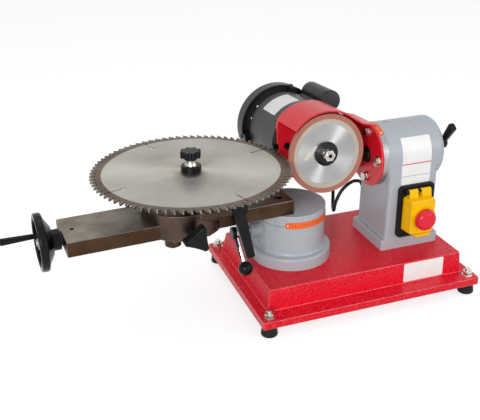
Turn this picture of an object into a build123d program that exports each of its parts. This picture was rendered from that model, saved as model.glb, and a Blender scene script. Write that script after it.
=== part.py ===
from build123d import *
import os
from math import atan2, cos, degrees, radians, sin, sqrt, tan

os.makedirs("parts", exist_ok=True)

# Stance of the machine: the swivelling arm and the tilting head as they stand
MID_Y = -16.0
ARM_ANGLE = 2.5
TILT_Z = 217.5
HEAD_ANGLE = -4.0

# Fits: radial play of a running fit, and the air between pieces that pass each other
RUN = 0.05
GAP = 0.3

# Base casting and its feet
BASE_X = 174.0
BASE_Y = -12.0
BASE_LENGTH = 374.0
BASE_DEPTH = 270.0
BASE_CORNER = 2.5
BASE_WALL = 6.0
FLANGE_THICK = 12.0
BOX_HEIGHT = 36.0
BOX_INSET_SIDE = 17.0
BOX_INSET_FRONT = 28.0
BOX_INSET_REAR = 24.0
BOX_LEAN_SIDE = 4.0
BOX_LEAN_FRONT = 1.0
BOX_LEAN_REAR = 13.0
BOX_CORNER = 2.5
BOX_EDGE = 1.2
FOOT_HEIGHT = 18.0
FOOT_LOW_R = 13.5
FOOT_EDGE = 3.0
FOOT_INSET_X = 14.0
FOOT_INSET_Y = 13.6
STUD_R = 4.0
STUD_DEPTH = 11.0
STUD_LENGTH = 35.5
WASHER_R = 8.5
WASHER_THICK = 1.6
NUT_FLATS = 13.0
NUT_HEIGHT = 6.5

FLANGE_TOP = FOOT_HEIGHT + FLANGE_THICK
BASE_TOP = FLANGE_TOP + BOX_HEIGHT
BASE_LEFT = BASE_X - BASE_LENGTH / 2
BASE_RIGHT = BASE_X + BASE_LENGTH / 2
BOX_LENGTH = BASE_LENGTH - 2 * BOX_INSET_SIDE
BOX_DEPTH = BASE_DEPTH - BOX_INSET_FRONT - BOX_INSET_REAR
BOX_Y = BASE_Y + (BOX_INSET_FRONT - BOX_INSET_REAR) / 2
TOP_LENGTH = BOX_LENGTH - 2 * BOX_LEAN_SIDE
TOP_DEPTH = BOX_DEPTH - BOX_LEAN_FRONT - BOX_LEAN_REAR
TOP_Y = BOX_Y + (BOX_LEAN_FRONT - BOX_LEAN_REAR) / 2
FOOT_SPOTS = [
    (BASE_X + side * (BASE_LENGTH / 2 - FOOT_INSET_X), BASE_Y + end * (BASE_DEPTH / 2 - FOOT_INSET_Y))
    for side in (-1, 1)
    for end in (-1, 1)
]

# Column with the cross barrel of the tilting head
COLUMN_INSET = 86.5
COLUMN_Y = -18.5
PLINTH_LENGTH = 104.0
PLINTH_DEPTH = 101.0
PLINTH_Y = -18.0
PLINTH_HEIGHT = 17.6
PLINTH_CORNER = 3.0
PLINTH_EDGE = 2.0
BODY_LENGTH = 89.0
BODY_LEAN = 2.0
BODY_DEPTH = 95.0
BODY_CORNER = 5.0
BARREL_R = 50.4
BARREL_OFFSET = 45.8
BARREL_LENGTH = 101.6
BARREL_EDGE = 10.0
CAVITY_LENGTH = 68.0
CAVITY_DEPTH = 62.0
CAVITY_HEIGHT = 97.0
BOLT_R = 4.0
BOLT_FLATS = 13.0
BOLT_HEAD = 5.3
BOLT_GRIP = 13.0
PLINTH_BOLT_X = 43.5
PLINTH_BOLT_Y = 41.5

COLUMN_X = BASE_RIGHT - COLUMN_INSET
BARREL_LEFT = COLUMN_X - BARREL_OFFSET
BARREL_RIGHT = BARREL_LEFT + BARREL_LENGTH
PLINTH_TOP = BASE_TOP + PLINTH_HEIGHT
BODY_FRONT = COLUMN_Y - BODY_DEPTH / 2
BODY_REAR = COLUMN_Y + BODY_DEPTH / 2

# Swivel pedestal, turntable and the clamp that locks them
SWIVEL_INSET = 97.0
PEDESTAL_R = 64.6
PEDESTAL_HEIGHT = 20.0
PEDESTAL_EDGE = 4.5
PEDESTAL_ROOT = 4.5
DRUM_R = 54.0
DRUM_TOP = 136.8
SPIGOT_R = 22.0
SPIGOT_BOTTOM = 92.0
TURNTABLE_R = 55.0
PEDESTAL_BOLT_R = 40.0
CLAMP_Z = 118.0
CLAMP_BOSS_R = 12.5
CLAMP_BOSS_REACH = 71.0
CLAMP_SCREW_R = 5.0
CLAMP_GROOVE_R = 18.0
CLAMP_GROOVE_HEIGHT = 14.0
CLAMP_HUB_R = 10.0
CLAMP_HUB_LENGTH = 29.0
CLAMP_ROD_R = 3.75
CLAMP_ROD_SETBACK = 23.0
CLAMP_ROD_LENGTH = 54.0
CLAMP_ROD_TURN = 34.0
CLAMP_ROD_SPLAY = 5.0
BALL_R = 11.5
BALL_NECK_R = 6.0
BALL_NECK_LENGTH = 4.0

SWIVEL_X = BASE_LEFT + SWIVEL_INSET
TURNTABLE_BOTTOM = DRUM_TOP + GAP
BASE_BOLT_SPOTS = [
    (SWIVEL_X + PEDESTAL_BOLT_R * cos(radians(turn)), MID_Y + PEDESTAL_BOLT_R * sin(radians(turn)))
    for turn in (45, 135, 225, 315)
] + [
    (COLUMN_X + side * PLINTH_BOLT_X, COLUMN_Y + end * PLINTH_BOLT_Y)
    for side in (-1, 1)
    for end in (-1, 1)
]

# Slide bar of the arm and its lead screw (places along the arm count from the swivel axis)
BAR_LEFT = -360.5
BAR_RIGHT = -14.0
BAR_WIDTH = 82.0
BAR_BOTTOM = 155.0
BAR_TOP = 178.0
BAR_EDGE = 0.8
CHANNEL_WIDTH = 30.0
CHANNEL_INSET = 24.5
CHANNEL_RIGHT = -66.0
CHANNEL_TOP = 173.6
SCREW_Z = 166.0
SCREW_R = 7.0
SCREW_JOURNAL_R = 5.0
SCREW_TAIL_R = 4.0
SCREW_TAIL = 12.0
BUSH_R = 8.5
BUSH_FLANGE_R = 10.5
BUSH_FLANGE = 2.5
OIL_HOLE_INSET = 15.5
OIL_HOLE_R = 3.5
BAR_BOLT_X = -32.0
BAR_BOLT_Y = 22.0
BAR_BOLT_HEAD_R = 6.5
BAR_BOLT_HEAD = 8.0
BAR_BOLT_SINK = 9.5
BAR_BOLT_KEY = 6.0
BAR_BOLT_GRIP = 12.0

CHANNEL_LEFT = BAR_LEFT + CHANNEL_INSET
OIL_HOLE_X = BAR_LEFT + OIL_HOLE_INSET

# Handwheel at the left end of the lead screw
WHEEL_RIM_R = 42.6
HANDWHEEL_GAP = 23.5
HANDWHEEL_RIM = 12.0
HANDWHEEL_RIM_DEPTH = 8.0
HANDWHEEL_WEB = 5.0
HANDWHEEL_DISH = 9.0
HANDWHEEL_DISH_R = 22.0
HANDWHEEL_HUB_R = 15.5
CRANK_Y = 29.0
CRANK_DROP = 3.0
CRANK_PIN_R = 3.0
CRANK_PIN_BOSS_R = 5.5
GRIP_LENGTH = 47.5
GRIP_ROOT_R = 4.0
GRIP_END_R = 5.5
GRIP_END_EDGE = 1.2

HANDWHEEL_INNER = BAR_LEFT - HANDWHEEL_GAP

# Tilting head: places count from the tilt axis
PIVOT_R = 18.0
PIVOT_DISC_R = 50.4
PIVOT_DISC = 9.7
PIVOT_END = 5.0
DRAW_R = 6.0
DRAW_HEAD_R = 13.5
DRAW_HEAD = 4.5
DRAW_END = 32.0
BRACKET_FLANGE = 3.5
BRACKET_R = 51.0
BRACKET_BOLT_RING = 37.5
BRACKET_BOLT_TURNS = (92.0, 182.0, 272.0)
BRACKET_BOLT_HEAD = 4.2
BRACKET_BOLT_GRIP = 12.0
BRACKET_CHIN = ((15.5, -47.5), (36.5, -40.0))
PLATE_FRONT = 42.0
PLATE_THICK = 5.0
PLATE_LEFT = 53.5
PLATE_FOOT = -36.0
PLATE_EYE_R = 24.0

# Grinding wheel and its guard
WHEEL_OFFSET = 96.2
WHEEL_RISE = 19.0
WHEEL_FACE = -26.0
WHEEL_R = 62.5
RIM_INNER_R = 55.0
RIM_THICK = 7.0
RING_INNER_R = 47.5
RING_PROUD = 0.6
WHEEL_BACK_R = 57.0
WHEEL_BACK = 13.0
DISH_DEPTH = 3.0
WHEEL_FLANGE_R = 19.0
WHEEL_FLANGE = 6.0
HUB_FLANGE_R = 25.0
HUB_FLANGE = 7.0
HUB_R = 14.0
SPINDLE_NUT_FLATS = 16.0
SPINDLE_NUT = 8.0
GUARD_R = 66.0
GUARD_THICK = 2.5
GUARD_FRONT = -28.0
GUARD_START = 140.5
GUARD_END = 54.0
GUARD_KNEE_REACH = 59.5
GUARD_KNEE_Z = 60.0
GUARD_TAIL_Z = 52.6
GUARD_BEND = 12.0

WHEEL_X = BARREL_LEFT - WHEEL_OFFSET
GUARD_KNEE = (WHEEL_X + GUARD_KNEE_REACH, GUARD_KNEE_Z)

# Blade, its tips, collar and star knob
BLADE_Z = 237.4
BLADE_THICK = 2.2
BLADE_BORE_R = 15.0
TIP_THICK = 3.2
TEETH = 80
TIP_R = 148.0
TOOTH_DROP = 1.8
TOOTH_HEEL = 5.6
TIP_SEAT = 6.8
GULLET_DEPTH = 9.6
SLOT_DEPTH = 36.0
SLOT_WIDTH = 2.4
SLOT_EYE_R = 3.2
COLLAR_R = 15.2
COLLAR_HEIGHT = 7.6
STAR_CONE_R = 10.0
STAR_CONE_HEIGHT = 4.5
STAR_NECK_R = 8.0
STAR_NECK_LENGTH = 12.1
STAR_UNDER = 4.5
STAR_HEIGHT = 10.0
STAR_CORE_R = 12.8
STAR_LOBE_R = 3.6
STAR_LOBES = 8
STAR_GRIP = 7.5
GRIND_GAP = 1.0

BLADE_BOTTOM = BLADE_Z - BLADE_THICK / 2
BLADE_TOP = BLADE_Z + BLADE_THICK / 2
STAR_FOOT = BLADE_TOP + COLLAR_HEIGHT + GAP
STAR_BOTTOM = STAR_FOOT + STAR_NECK_LENGTH
TOOTH_R = TIP_R - TOOTH_DROP
TIP_SEAT_R = TIP_R - TIP_SEAT
GULLET_R = TIP_R - GULLET_DEPTH
SLOT_INNER_R = TIP_R - SLOT_DEPTH
ARBOR_X = WHEEL_X - SWIVEL_X - WHEEL_R - GRIND_GAP - TIP_R

# Carriage with the blade arbor
ARBOR_OFFSET = 18.5
CARRIAGE_R = 61.0
CARRIAGE_TOP = 194.6
CARRIAGE_EDGE = 2.0
SLIDE_PLAY = 0.15
KEEPER_LENGTH = 56.0
KEEPER_WIDTH = 100.0
KEEPER_THICK = 4.0
KEEPER_BOSS_OFFSET = 15.5
KEEPER_BOSS_R = 12.5
KEEPER_BOSS_BOTTOM = 122.0
KEEPER_TIP_R = 4.5
KEEPER_TIP = 5.0
NUT_LENGTH = 26.0
NUT_WIDTH = 26.0
NUT_TOP = 173.0
ARBOR_FOOT_R = 24.0
ARBOR_FOOT = 7.0
ARBOR_SPIGOT_R = 10.0
ARBOR_SPIGOT = 9.0
ARBOR_POST_R = 16.0
ARBOR_SEAT_R = 30.0
ARBOR_SEAT = 8.0
ARBOR_STUD_R = 6.0
ARBOR_STUD_TOP = STAR_BOTTOM + STAR_GRIP

CARRIAGE_X = ARBOR_X - ARBOR_OFFSET
KEEPER_BOSS_X = CARRIAGE_X - KEEPER_BOSS_OFFSET

# Hand clamps of the carriage
LEVER_Y = -50.5
LEVER_Z = 186.5
LEVER_STUD_R = 5.0
LEVER_STUD_DEPTH = 26.0
LEVER_BOSS_START = 10.0
LEVER_HUB_OFFSET = 57.0
LEVER_HUB_LENGTH = 26.5
LEVER_HUB_R = 8.5
LEVER_ARM_SETBACK = 13.0
LEVER_ARM_LENGTH = 84.0
LEVER_ARM_SPLAY = 20.0
LEVER_ARM_ROOT = (19.5, 15.0)
LEVER_ARM_TIP = (14.0, 12.0)
TRI_OFFSET = 2.5
TRI_SCREW_R = 4.0
TRI_HUB_R = 8.0
TRI_HUB_LENGTH = 14.0
TRI_THICK = 13.0
TRI_REACH = 21.5
TRI_ARM_WIDTH = 10.0
TRI_CORE_R = 12.0
TRI_ARM_HALF = 62.0
TRI_TURNS = (65.0, 184.0, 305.0)

LEVER_HUB_LEFT = CARRIAGE_X + LEVER_HUB_OFFSET
LEVER_HUB_RIGHT = LEVER_HUB_LEFT + LEVER_HUB_LENGTH
LEVER_ARM_X = LEVER_HUB_RIGHT - LEVER_ARM_SETBACK
TRI_X = CARRIAGE_X - TRI_OFFSET

# Motor
MOTOR_R = 61.5
MOTOR_WALL = 5.0
SHIELD_THICK = 10.0
HOUSING_END = 146.0
REAR_SHIELD_R = 57.0
REAR_SHIELD = 12.0
COVER_R = 70.8
COVER_WALL = 2.0
COVER_MOUTH = 162.0
COVER_END = 188.0
COVER_LUG_WIDTH = 12.0
COVER_LUG_START = 150.0
COVER_VENTS = 24
COVER_VENT_WIDTH = 4.0
COVER_VENT_RING = (18.0, 46.0)
COVER_VENT_SHORT = 16.0
BEARING_R = 20.0
BEARING_WIDTH = 12.0
BEARING_BOSS_R = 26.0
SHAFT_R = 8.5
SHAFT_NOSE_R = 5.5
SHAFT_CENTRE = (3.0, 7.0)
SHAFT_CORE_R = 11.0
STATOR_INNER_R = 34.0
STATOR_START = 74.0
STATOR_LENGTH = 58.0
COIL_R = (37.0, 52.0)
COIL_LENGTH = 9.0
ROTOR_AIR = 0.6
FAN_R = 50.0
FAN_START = 164.0
FAN_PLATE = 3.0
FAN_BLADE = 13.0
FAN_BLADES = 9
FAN_HUB_R = 14.0
FAN_BLADE_THICK = 2.5
FAN_BLADE_ROOT = 2.0
FAN_BLADE_TIP = 1.5
FAN_BLADE_REACH = FAN_R - FAN_BLADE_TIP - FAN_HUB_R + FAN_BLADE_ROOT
FAN_BLADE_MIDDLE = FAN_HUB_R - FAN_BLADE_ROOT + FAN_BLADE_REACH / 2
MOTOR_SCREW_RING = 38.0
MOTOR_SCREW_R = 3.0
MOTOR_SCREW_HEAD_R = 5.5
MOTOR_SCREW_HEAD = 4.0
MOTOR_SCREW_GRIP = 8.0
TIE_RING = 57.0
TIE_HEAD_R = 4.5
TIE_HEAD = 5.0
TIE_NOTCH_R = 6.5

# Capacitor box on the motor
BOX_REACH = 54.5
BOX_RISE = 73.5
BOX_R = 18.0
BOX_START = 74.0
BOX_END = 154.0
BOX_WALL = 2.2
BOX_FLOOR = 50.0
BOX_FLANK = 14.0
BOX_FOOT_REACH = 55.0
BOX_FOOT_Z = 41.0
TERMINAL_REACH = 53.5
TERMINAL_WIDTH = 20.0
TERMINAL_RUN = (92.0, 112.0)
TERMINAL_HEIGHT = 16.0
CAPACITOR_R = 12.5
CAPACITOR_INSET = 5.0

BOX_CENTRE = (WHEEL_X + BOX_REACH, BOX_RISE)
BOX_FOOT = (WHEEL_X + BOX_FOOT_REACH, BOX_FOOT_Z)
TERMINAL_LEFT = WHEEL_X + TERMINAL_REACH

# Head clamp lever on the right end of the draw bolt
HEAD_LEVER_R = 9.0
HEAD_LEVER_HUB = 30.0
HEAD_LEVER_SETBACK = 6.0
HEAD_LEVER_TURN = 129.0
HEAD_LEVER_REACH = 45.5
HEAD_LEVER_ROOT = (10.0, 9.0)
HEAD_LEVER_TIP = (14.5, 11.5)

# Scale strips bent round the pivot disc and the turntable
SCALE_THICK = 0.6
HEAD_SCALE_TURNS = (52.0, 130.0)
HEAD_SCALE_MARGIN = 0.8
SWIVEL_SCALE_TURNS = (235.5, 347.5)
SWIVEL_SCALE_HEIGHT = 10.5
SWIVEL_SCALE_LIFT = -2.6
HEAD_SCALE_SPAN = HEAD_SCALE_TURNS[1] - HEAD_SCALE_TURNS[0]
SWIVEL_SCALE_SPAN = SWIVEL_SCALE_TURNS[1] - SWIVEL_SCALE_TURNS[0]

# Switch on the column front
SWITCH_OFFSET = 4.8
SWITCH_Z = 131.2
SWITCH_WIDTH = 64.0
SWITCH_HEIGHT = 90.0
SWITCH_PLATE = 6.0
SWITCH_CORNER = 8.0
SWITCH_BOX = (46.0, 66.0, 30.0)
SWITCH_SCREW_R = 2.0
SWITCH_SCREW_HEAD_R = 2.9
SWITCH_SCREW_HEAD = 2.4
SWITCH_SCREW_GRIP = 10.0
SWITCH_SCREW_OFFSET = 4.5
SWITCH_SCREW_ZS = (92.5, 167.5)
LID_OFFSET = 3.5
LID_Z = 130.0
LID_WIDTH = 47.0
LID_HEIGHT = 60.0
LID_DEPTH = 23.5
LID_LEAN = 2.0
LID_TAB = (26.0, 4.5, 7.0)
LID_WALL = 2.0
LID_CORNER = 5.0
HINGE_Z = 168.0
HINGE_STANDOFF = 5.0
HINGE_PIN_R = 2.0
EAR_R = 4.0
EAR_OFFSETS = ((-18.0, -2.5), (4.5, 21.0))
LUG_WIDTH = 5.0
LUG_PLAY = 0.4
KNOB_R = 17.5
KNOB_THICK = 11.0
KNOB_DOME = 9.0
KNOB_LIFT = 4.5
KNOB_STEM_R = 7.0
KNOB_CLIP_R = 9.0
KNOB_CLIP = 2.0
KNOB_OFFSET = 4.5
KNOB_Z = 128.0
KNOB_RING_R = 20.3
KNOB_RING = 2.6
START_Z = 150.0
START_R = 7.0
START_PROUD = 4.0
START_DEPTH = 14.0

SWITCH_X = COLUMN_X + SWITCH_OFFSET
SWITCH_SCREW_X = COLUMN_X + SWITCH_SCREW_OFFSET
LID_X = COLUMN_X + LID_OFFSET
KNOB_X = COLUMN_X + KNOB_OFFSET
EAR_SPANS = [(LID_X + left, LID_X + right) for left, right in EAR_OFFSETS]

# Cable entries and the motor lead
LEAD_R = 3.0
GLAND_NUT_R = 8.0
GLAND_NUT = 5.0
GLAND_BODY_R = 6.5
GLAND_BODY = 8.0
GLAND_THREAD_R = 6.0
GLAND_THREAD = 7.0
LEAD_GLAND_OFFSET = 30.5
LEAD_GLAND_Z = 140.0
MAINS_GLAND_OFFSET = 25.5
MAINS_GLAND_Z = 100.0
MOTOR_GLAND_REACH = 67.0
MOTOR_GLAND_Y = 102.0
LEAD_DROP = 46.0

LEAD_GLAND = (COLUMN_X - LEAD_GLAND_OFFSET, LEAD_GLAND_Z)
MAINS_GLAND = (COLUMN_X + MAINS_GLAND_OFFSET, MAINS_GLAND_Z)
MOTOR_GLAND_X = WHEEL_X + MOTOR_GLAND_REACH

# Frames: the stand, the arm turned about the swivel axis, the head turned about the tilt axis
STAND = Plane.XY
ARM = Plane(
    origin=(SWIVEL_X, MID_Y, 0),
    x_dir=(cos(radians(ARM_ANGLE)), sin(radians(ARM_ANGLE)), 0),
    z_dir=(0, 0, 1),
)
HEAD = Plane(
    origin=(0, MID_Y, TILT_Z),
    x_dir=(1, 0, 0),
    z_dir=(0, -sin(radians(HEAD_ANGLE)), cos(radians(HEAD_ANGLE))),
)
SPINDLE = Plane(
    origin=HEAD.from_local_coords((WHEEL_X, 0, WHEEL_RISE)),
    x_dir=HEAD.x_dir,
    z_dir=HEAD.z_dir,
)
SPINDLE_AXIS = Axis(SPINDLE.origin, SPINDLE.y_dir)
CRANK = Plane(
    origin=ARM.from_local_coords((0, 0, SCREW_Z)),
    x_dir=ARM.x_dir,
    z_dir=ARM.z_dir,
)
CRANK_AXIS = Axis(CRANK.origin, CRANK.x_dir)


def across(frame, x):
    """Plane square to a frame's X axis: sketch x runs to the back, sketch y runs up."""
    return Plane(frame.from_local_coords((x, 0, 0)), x_dir=frame.y_dir, z_dir=frame.x_dir)


def facing(frame, y):
    """Plane square to a frame's Y axis, looking to the front: sketch x runs right, sketch y up."""
    return Plane(frame.from_local_coords((0, y, 0)), x_dir=frame.x_dir, z_dir=-frame.y_dir)


def ring_spots(radius, turns, middle=(0.0, 0.0)):
    """Places on a circle, by angle."""
    return [(middle[0] + radius * cos(radians(t)), middle[1] + radius * sin(radians(t))) for t in turns]


# Base: a flanged hollow casting with a raised box
with BuildPart() as base:
    with BuildSketch(STAND.offset(FOOT_HEIGHT)):
        with Locations((BASE_X, BASE_Y)):
            RectangleRounded(BASE_LENGTH, BASE_DEPTH, BASE_CORNER)
    extrude(amount=FLANGE_THICK)
    with BuildSketch(STAND.offset(FLANGE_TOP)):
        with Locations((BASE_X, BOX_Y)):
            RectangleRounded(BOX_LENGTH, BOX_DEPTH, BOX_CORNER)
    with BuildSketch(STAND.offset(BASE_TOP)):
        with Locations((BASE_X, TOP_Y)):
            RectangleRounded(TOP_LENGTH, TOP_DEPTH, BOX_CORNER)
    loft()
    fillet(base.edges().group_by(Axis.Z)[-1], BOX_EDGE)
    with BuildSketch(STAND.offset(FOOT_HEIGHT)):
        with Locations((BASE_X, BOX_Y)):
            RectangleRounded(BOX_LENGTH - 2 * BASE_WALL, BOX_DEPTH - 2 * BASE_WALL, BOX_CORNER)
    with BuildSketch(STAND.offset(BASE_TOP - BASE_WALL)):
        with Locations((BASE_X, TOP_Y)):
            RectangleRounded(TOP_LENGTH - 2 * BASE_WALL, TOP_DEPTH - 2 * BASE_WALL, BOX_CORNER)
    loft(mode=Mode.SUBTRACT)
    with BuildSketch(STAND.offset(FOOT_HEIGHT)):
        with Locations(*FOOT_SPOTS):
            Circle(STUD_R)
    extrude(amount=FLANGE_THICK, mode=Mode.SUBTRACT)
    with BuildSketch(STAND.offset(BASE_TOP - BASE_WALL)):
        with Locations(*BASE_BOLT_SPOTS):
            Circle(BOLT_R)
    extrude(amount=BASE_WALL, mode=Mode.SUBTRACT)

# Rubber feet: four round-edged cones, each with a blind hole for its stud
with BuildPart() as rubber_feet:
    with BuildSketch(STAND):
        with Locations(*FOOT_SPOTS):
            Circle(FOOT_LOW_R)
    extrude(amount=FOOT_HEIGHT, taper=8.0)
    fillet(rubber_feet.edges().group_by(Axis.Z)[0], FOOT_EDGE)
    with BuildSketch(STAND.offset(FOOT_HEIGHT - STUD_DEPTH)):
        with Locations(*FOOT_SPOTS):
            Circle(STUD_R)
    extrude(amount=STUD_DEPTH, mode=Mode.SUBTRACT)

# Foot bolts: stud, washer and nut of each foot
with BuildPart() as foot_bolts:
    with BuildSketch(STAND.offset(FOOT_HEIGHT - STUD_DEPTH)):
        with Locations(*FOOT_SPOTS):
            Circle(STUD_R)
    extrude(amount=STUD_LENGTH)
    with BuildSketch(STAND.offset(FLANGE_TOP)):
        with Locations(*FOOT_SPOTS):
            Circle(WASHER_R)
    extrude(amount=WASHER_THICK)
    with BuildSketch(STAND.offset(FLANGE_TOP + WASHER_THICK)):
        with Locations(*FOOT_SPOTS):
            RegularPolygon(NUT_FLATS / 2, 6, major_radius=False)
    extrude(amount=NUT_HEIGHT)

# Column: plinth, hollow body and the cross barrel, in one casting
with BuildPart() as column:
    with BuildSketch(STAND.offset(BASE_TOP)):
        with Locations((COLUMN_X, PLINTH_Y)):
            RectangleRounded(PLINTH_LENGTH, PLINTH_DEPTH, PLINTH_CORNER)
    extrude(amount=PLINTH_HEIGHT)
    fillet(column.edges().group_by(Axis.Z)[-1], PLINTH_EDGE)
    with BuildSketch(across(STAND, BARREL_LEFT)):
        with Locations((MID_Y, TILT_Z)):
            Circle(BARREL_R)
    extrude(amount=BARREL_LENGTH)
    barrel_rims = column.solids().sort_by(Axis.Z)[-1].edges().filter_by(GeomType.CIRCLE)
    fillet(barrel_rims.sort_by(Axis.X)[-1], BARREL_EDGE)
    with BuildSketch(STAND.offset(PLINTH_TOP)):
        with Locations((COLUMN_X, COLUMN_Y)):
            RectangleRounded(BODY_LENGTH, BODY_DEPTH, BODY_CORNER)
    with BuildSketch(STAND.offset(TILT_Z)):
        with Locations((COLUMN_X, COLUMN_Y)):
            RectangleRounded(BODY_LENGTH - 2 * BODY_LEAN, BODY_DEPTH, BODY_CORNER)
    loft()
    with BuildSketch(across(STAND, BARREL_LEFT)):
        with Locations((MID_Y, TILT_Z)):
            Circle(PIVOT_R + RUN)
    extrude(amount=BARREL_LENGTH, mode=Mode.SUBTRACT)
    with BuildSketch(STAND.offset(BASE_TOP)):
        with Locations((COLUMN_X, COLUMN_Y)):
            RectangleRounded(CAVITY_LENGTH, CAVITY_DEPTH, BODY_CORNER / 2)
    extrude(amount=CAVITY_HEIGHT, mode=Mode.SUBTRACT)
    with BuildSketch(facing(STAND, BODY_FRONT)):
        with Locations((SWITCH_X, SWITCH_Z)):
            Rectangle(SWITCH_BOX[0], SWITCH_BOX[1])
    extrude(amount=-(BODY_DEPTH - CAVITY_DEPTH), mode=Mode.SUBTRACT)
    with BuildSketch(facing(STAND, BODY_FRONT)):
        with Locations(*[(SWITCH_SCREW_X, z) for z in SWITCH_SCREW_ZS]):
            Circle(SWITCH_SCREW_R)
    extrude(amount=-SWITCH_SCREW_GRIP, mode=Mode.SUBTRACT)
    with BuildSketch(facing(STAND, BODY_REAR)):
        with Locations(LEAD_GLAND, MAINS_GLAND):
            Circle(GLAND_THREAD_R)
    extrude(amount=BODY_DEPTH - CAVITY_DEPTH, mode=Mode.SUBTRACT)
    with BuildSketch(STAND.offset(BASE_TOP)):
        with Locations(*BASE_BOLT_SPOTS[4:]):
            Circle(BOLT_R)
    extrude(amount=BOLT_GRIP, mode=Mode.SUBTRACT)

# Swivel pedestal: a stepped drum with a side boss for its clamp screw
with BuildPart() as swivel_base:
    with BuildSketch(STAND.offset(BASE_TOP)):
        with Locations((SWIVEL_X, MID_Y)):
            Circle(PEDESTAL_R)
    extrude(amount=PEDESTAL_HEIGHT)
    fillet(swivel_base.edges().group_by(Axis.Z)[-1], PEDESTAL_EDGE)
    with BuildSketch(STAND.offset(BASE_TOP)):
        with Locations((SWIVEL_X, MID_Y)):
            Circle(DRUM_R)
    extrude(amount=DRUM_TOP - BASE_TOP)
    step = BASE_TOP + PEDESTAL_HEIGHT
    rings = swivel_base.edges().filter_by(GeomType.CIRCLE)
    step_rings = rings.filter_by_position(Axis.Z, step - RUN, step + RUN)
    fillet(step_rings.sort_by(SortBy.RADIUS)[0], PEDESTAL_ROOT)
    with BuildSketch(across(STAND, SWIVEL_X - CLAMP_BOSS_REACH)):
        with Locations((MID_Y, CLAMP_Z)):
            Circle(CLAMP_BOSS_R)
    extrude(amount=CLAMP_BOSS_REACH - SPIGOT_R)
    with BuildSketch(STAND.offset(BASE_TOP)):
        with Locations((SWIVEL_X, MID_Y)):
            Circle(SPIGOT_R + RUN)
    extrude(amount=DRUM_TOP - BASE_TOP, mode=Mode.SUBTRACT)
    with BuildSketch(across(STAND, SWIVEL_X - CLAMP_BOSS_REACH)):
        with Locations((MID_Y, CLAMP_Z)):
            Circle(CLAMP_SCREW_R + RUN)
    extrude(amount=CLAMP_BOSS_REACH - CLAMP_GROOVE_R, mode=Mode.SUBTRACT)
    with BuildSketch(STAND.offset(BASE_TOP)):
        with Locations(*BASE_BOLT_SPOTS[:4]):
            Circle(BOLT_R)
    extrude(amount=BOLT_GRIP, mode=Mode.SUBTRACT)

# Base bolts: eight hexagon screws that hold pedestal and column from below
with BuildPart() as base_bolts:
    with BuildSketch(STAND.offset(BASE_TOP - BASE_WALL - BOLT_HEAD)):
        with Locations(*BASE_BOLT_SPOTS):
            RegularPolygon(BOLT_FLATS / 2, 6, major_radius=False)
    extrude(amount=BOLT_HEAD)
    with BuildSketch(STAND.offset(BASE_TOP - BASE_WALL)):
        with Locations(*BASE_BOLT_SPOTS):
            Circle(BOLT_R)
    extrude(amount=BASE_WALL + BOLT_GRIP)

# Ball lever: clamp screw, bright hub and rod, on the axis of the pedestal boss
CLAMP_LEFT = SWIVEL_X - CLAMP_BOSS_REACH - GAP
ROD_ROOT = (CLAMP_LEFT - CLAMP_ROD_SETBACK, MID_Y, CLAMP_Z)
ROD_RUN = Vector(
    sin(radians(CLAMP_ROD_SPLAY)),
    -sin(radians(CLAMP_ROD_TURN)) * cos(radians(CLAMP_ROD_SPLAY)),
    -cos(radians(CLAMP_ROD_TURN)) * cos(radians(CLAMP_ROD_SPLAY)),
)
ROD_SIDE = (0, cos(radians(CLAMP_ROD_TURN)), -sin(radians(CLAMP_ROD_TURN)))
ROD = Plane(origin=ROD_ROOT, x_dir=ROD_SIDE, z_dir=ROD_RUN)
with BuildPart() as ball_lever:
    with BuildSketch(across(STAND, CLAMP_LEFT - CLAMP_HUB_LENGTH)):
        with Locations((MID_Y, CLAMP_Z)):
            Circle(CLAMP_HUB_R)
    extrude(amount=CLAMP_HUB_LENGTH)
    fillet(ball_lever.edges().filter_by(GeomType.CIRCLE), 1.5)
    with BuildSketch(across(STAND, CLAMP_LEFT)):
        with Locations((MID_Y, CLAMP_Z)):
            Circle(CLAMP_SCREW_R)
    extrude(amount=SWIVEL_X - CLAMP_GROOVE_R - GAP - CLAMP_LEFT)
    with BuildSketch(ROD):
        Circle(CLAMP_ROD_R)
    extrude(amount=CLAMP_ROD_LENGTH)

# Ball knob: a ball with a short neck, screwed on the end of the rod
with BuildPart(ROD.offset(CLAMP_ROD_LENGTH + BALL_NECK_LENGTH)) as ball_knob:
    Sphere(BALL_R)
    with BuildSketch(ROD.offset(CLAMP_ROD_LENGTH - BALL_NECK_LENGTH)):
        Circle(BALL_NECK_R)
    extrude(amount=2 * BALL_NECK_LENGTH)
    with BuildSketch(ROD.offset(CLAMP_ROD_LENGTH - BALL_R)):
        Circle(CLAMP_ROD_R)
    extrude(amount=BALL_R, mode=Mode.SUBTRACT)

# Turntable: a disc with a spigot that turns in the pedestal
with BuildPart() as turntable:
    with BuildSketch(ARM.offset(TURNTABLE_BOTTOM)):
        Circle(TURNTABLE_R)
    extrude(amount=BAR_BOTTOM - TURNTABLE_BOTTOM)
    with BuildSketch(ARM.offset(SPIGOT_BOTTOM)):
        Circle(SPIGOT_R)
    extrude(amount=TURNTABLE_BOTTOM - SPIGOT_BOTTOM)
    with BuildSketch(ARM.offset(CLAMP_Z - CLAMP_GROOVE_HEIGHT / 2)):
        Circle(SPIGOT_R)
        Circle(CLAMP_GROOVE_R, mode=Mode.SUBTRACT)
    extrude(amount=CLAMP_GROOVE_HEIGHT, mode=Mode.SUBTRACT)
    with BuildSketch(ARM.offset(BAR_BOTTOM)):
        with Locations((BAR_BOLT_X, BAR_BOLT_Y), (BAR_BOLT_X, -BAR_BOLT_Y)):
            Circle(BOLT_R)
    extrude(amount=-BAR_BOLT_GRIP, mode=Mode.SUBTRACT)

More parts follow.
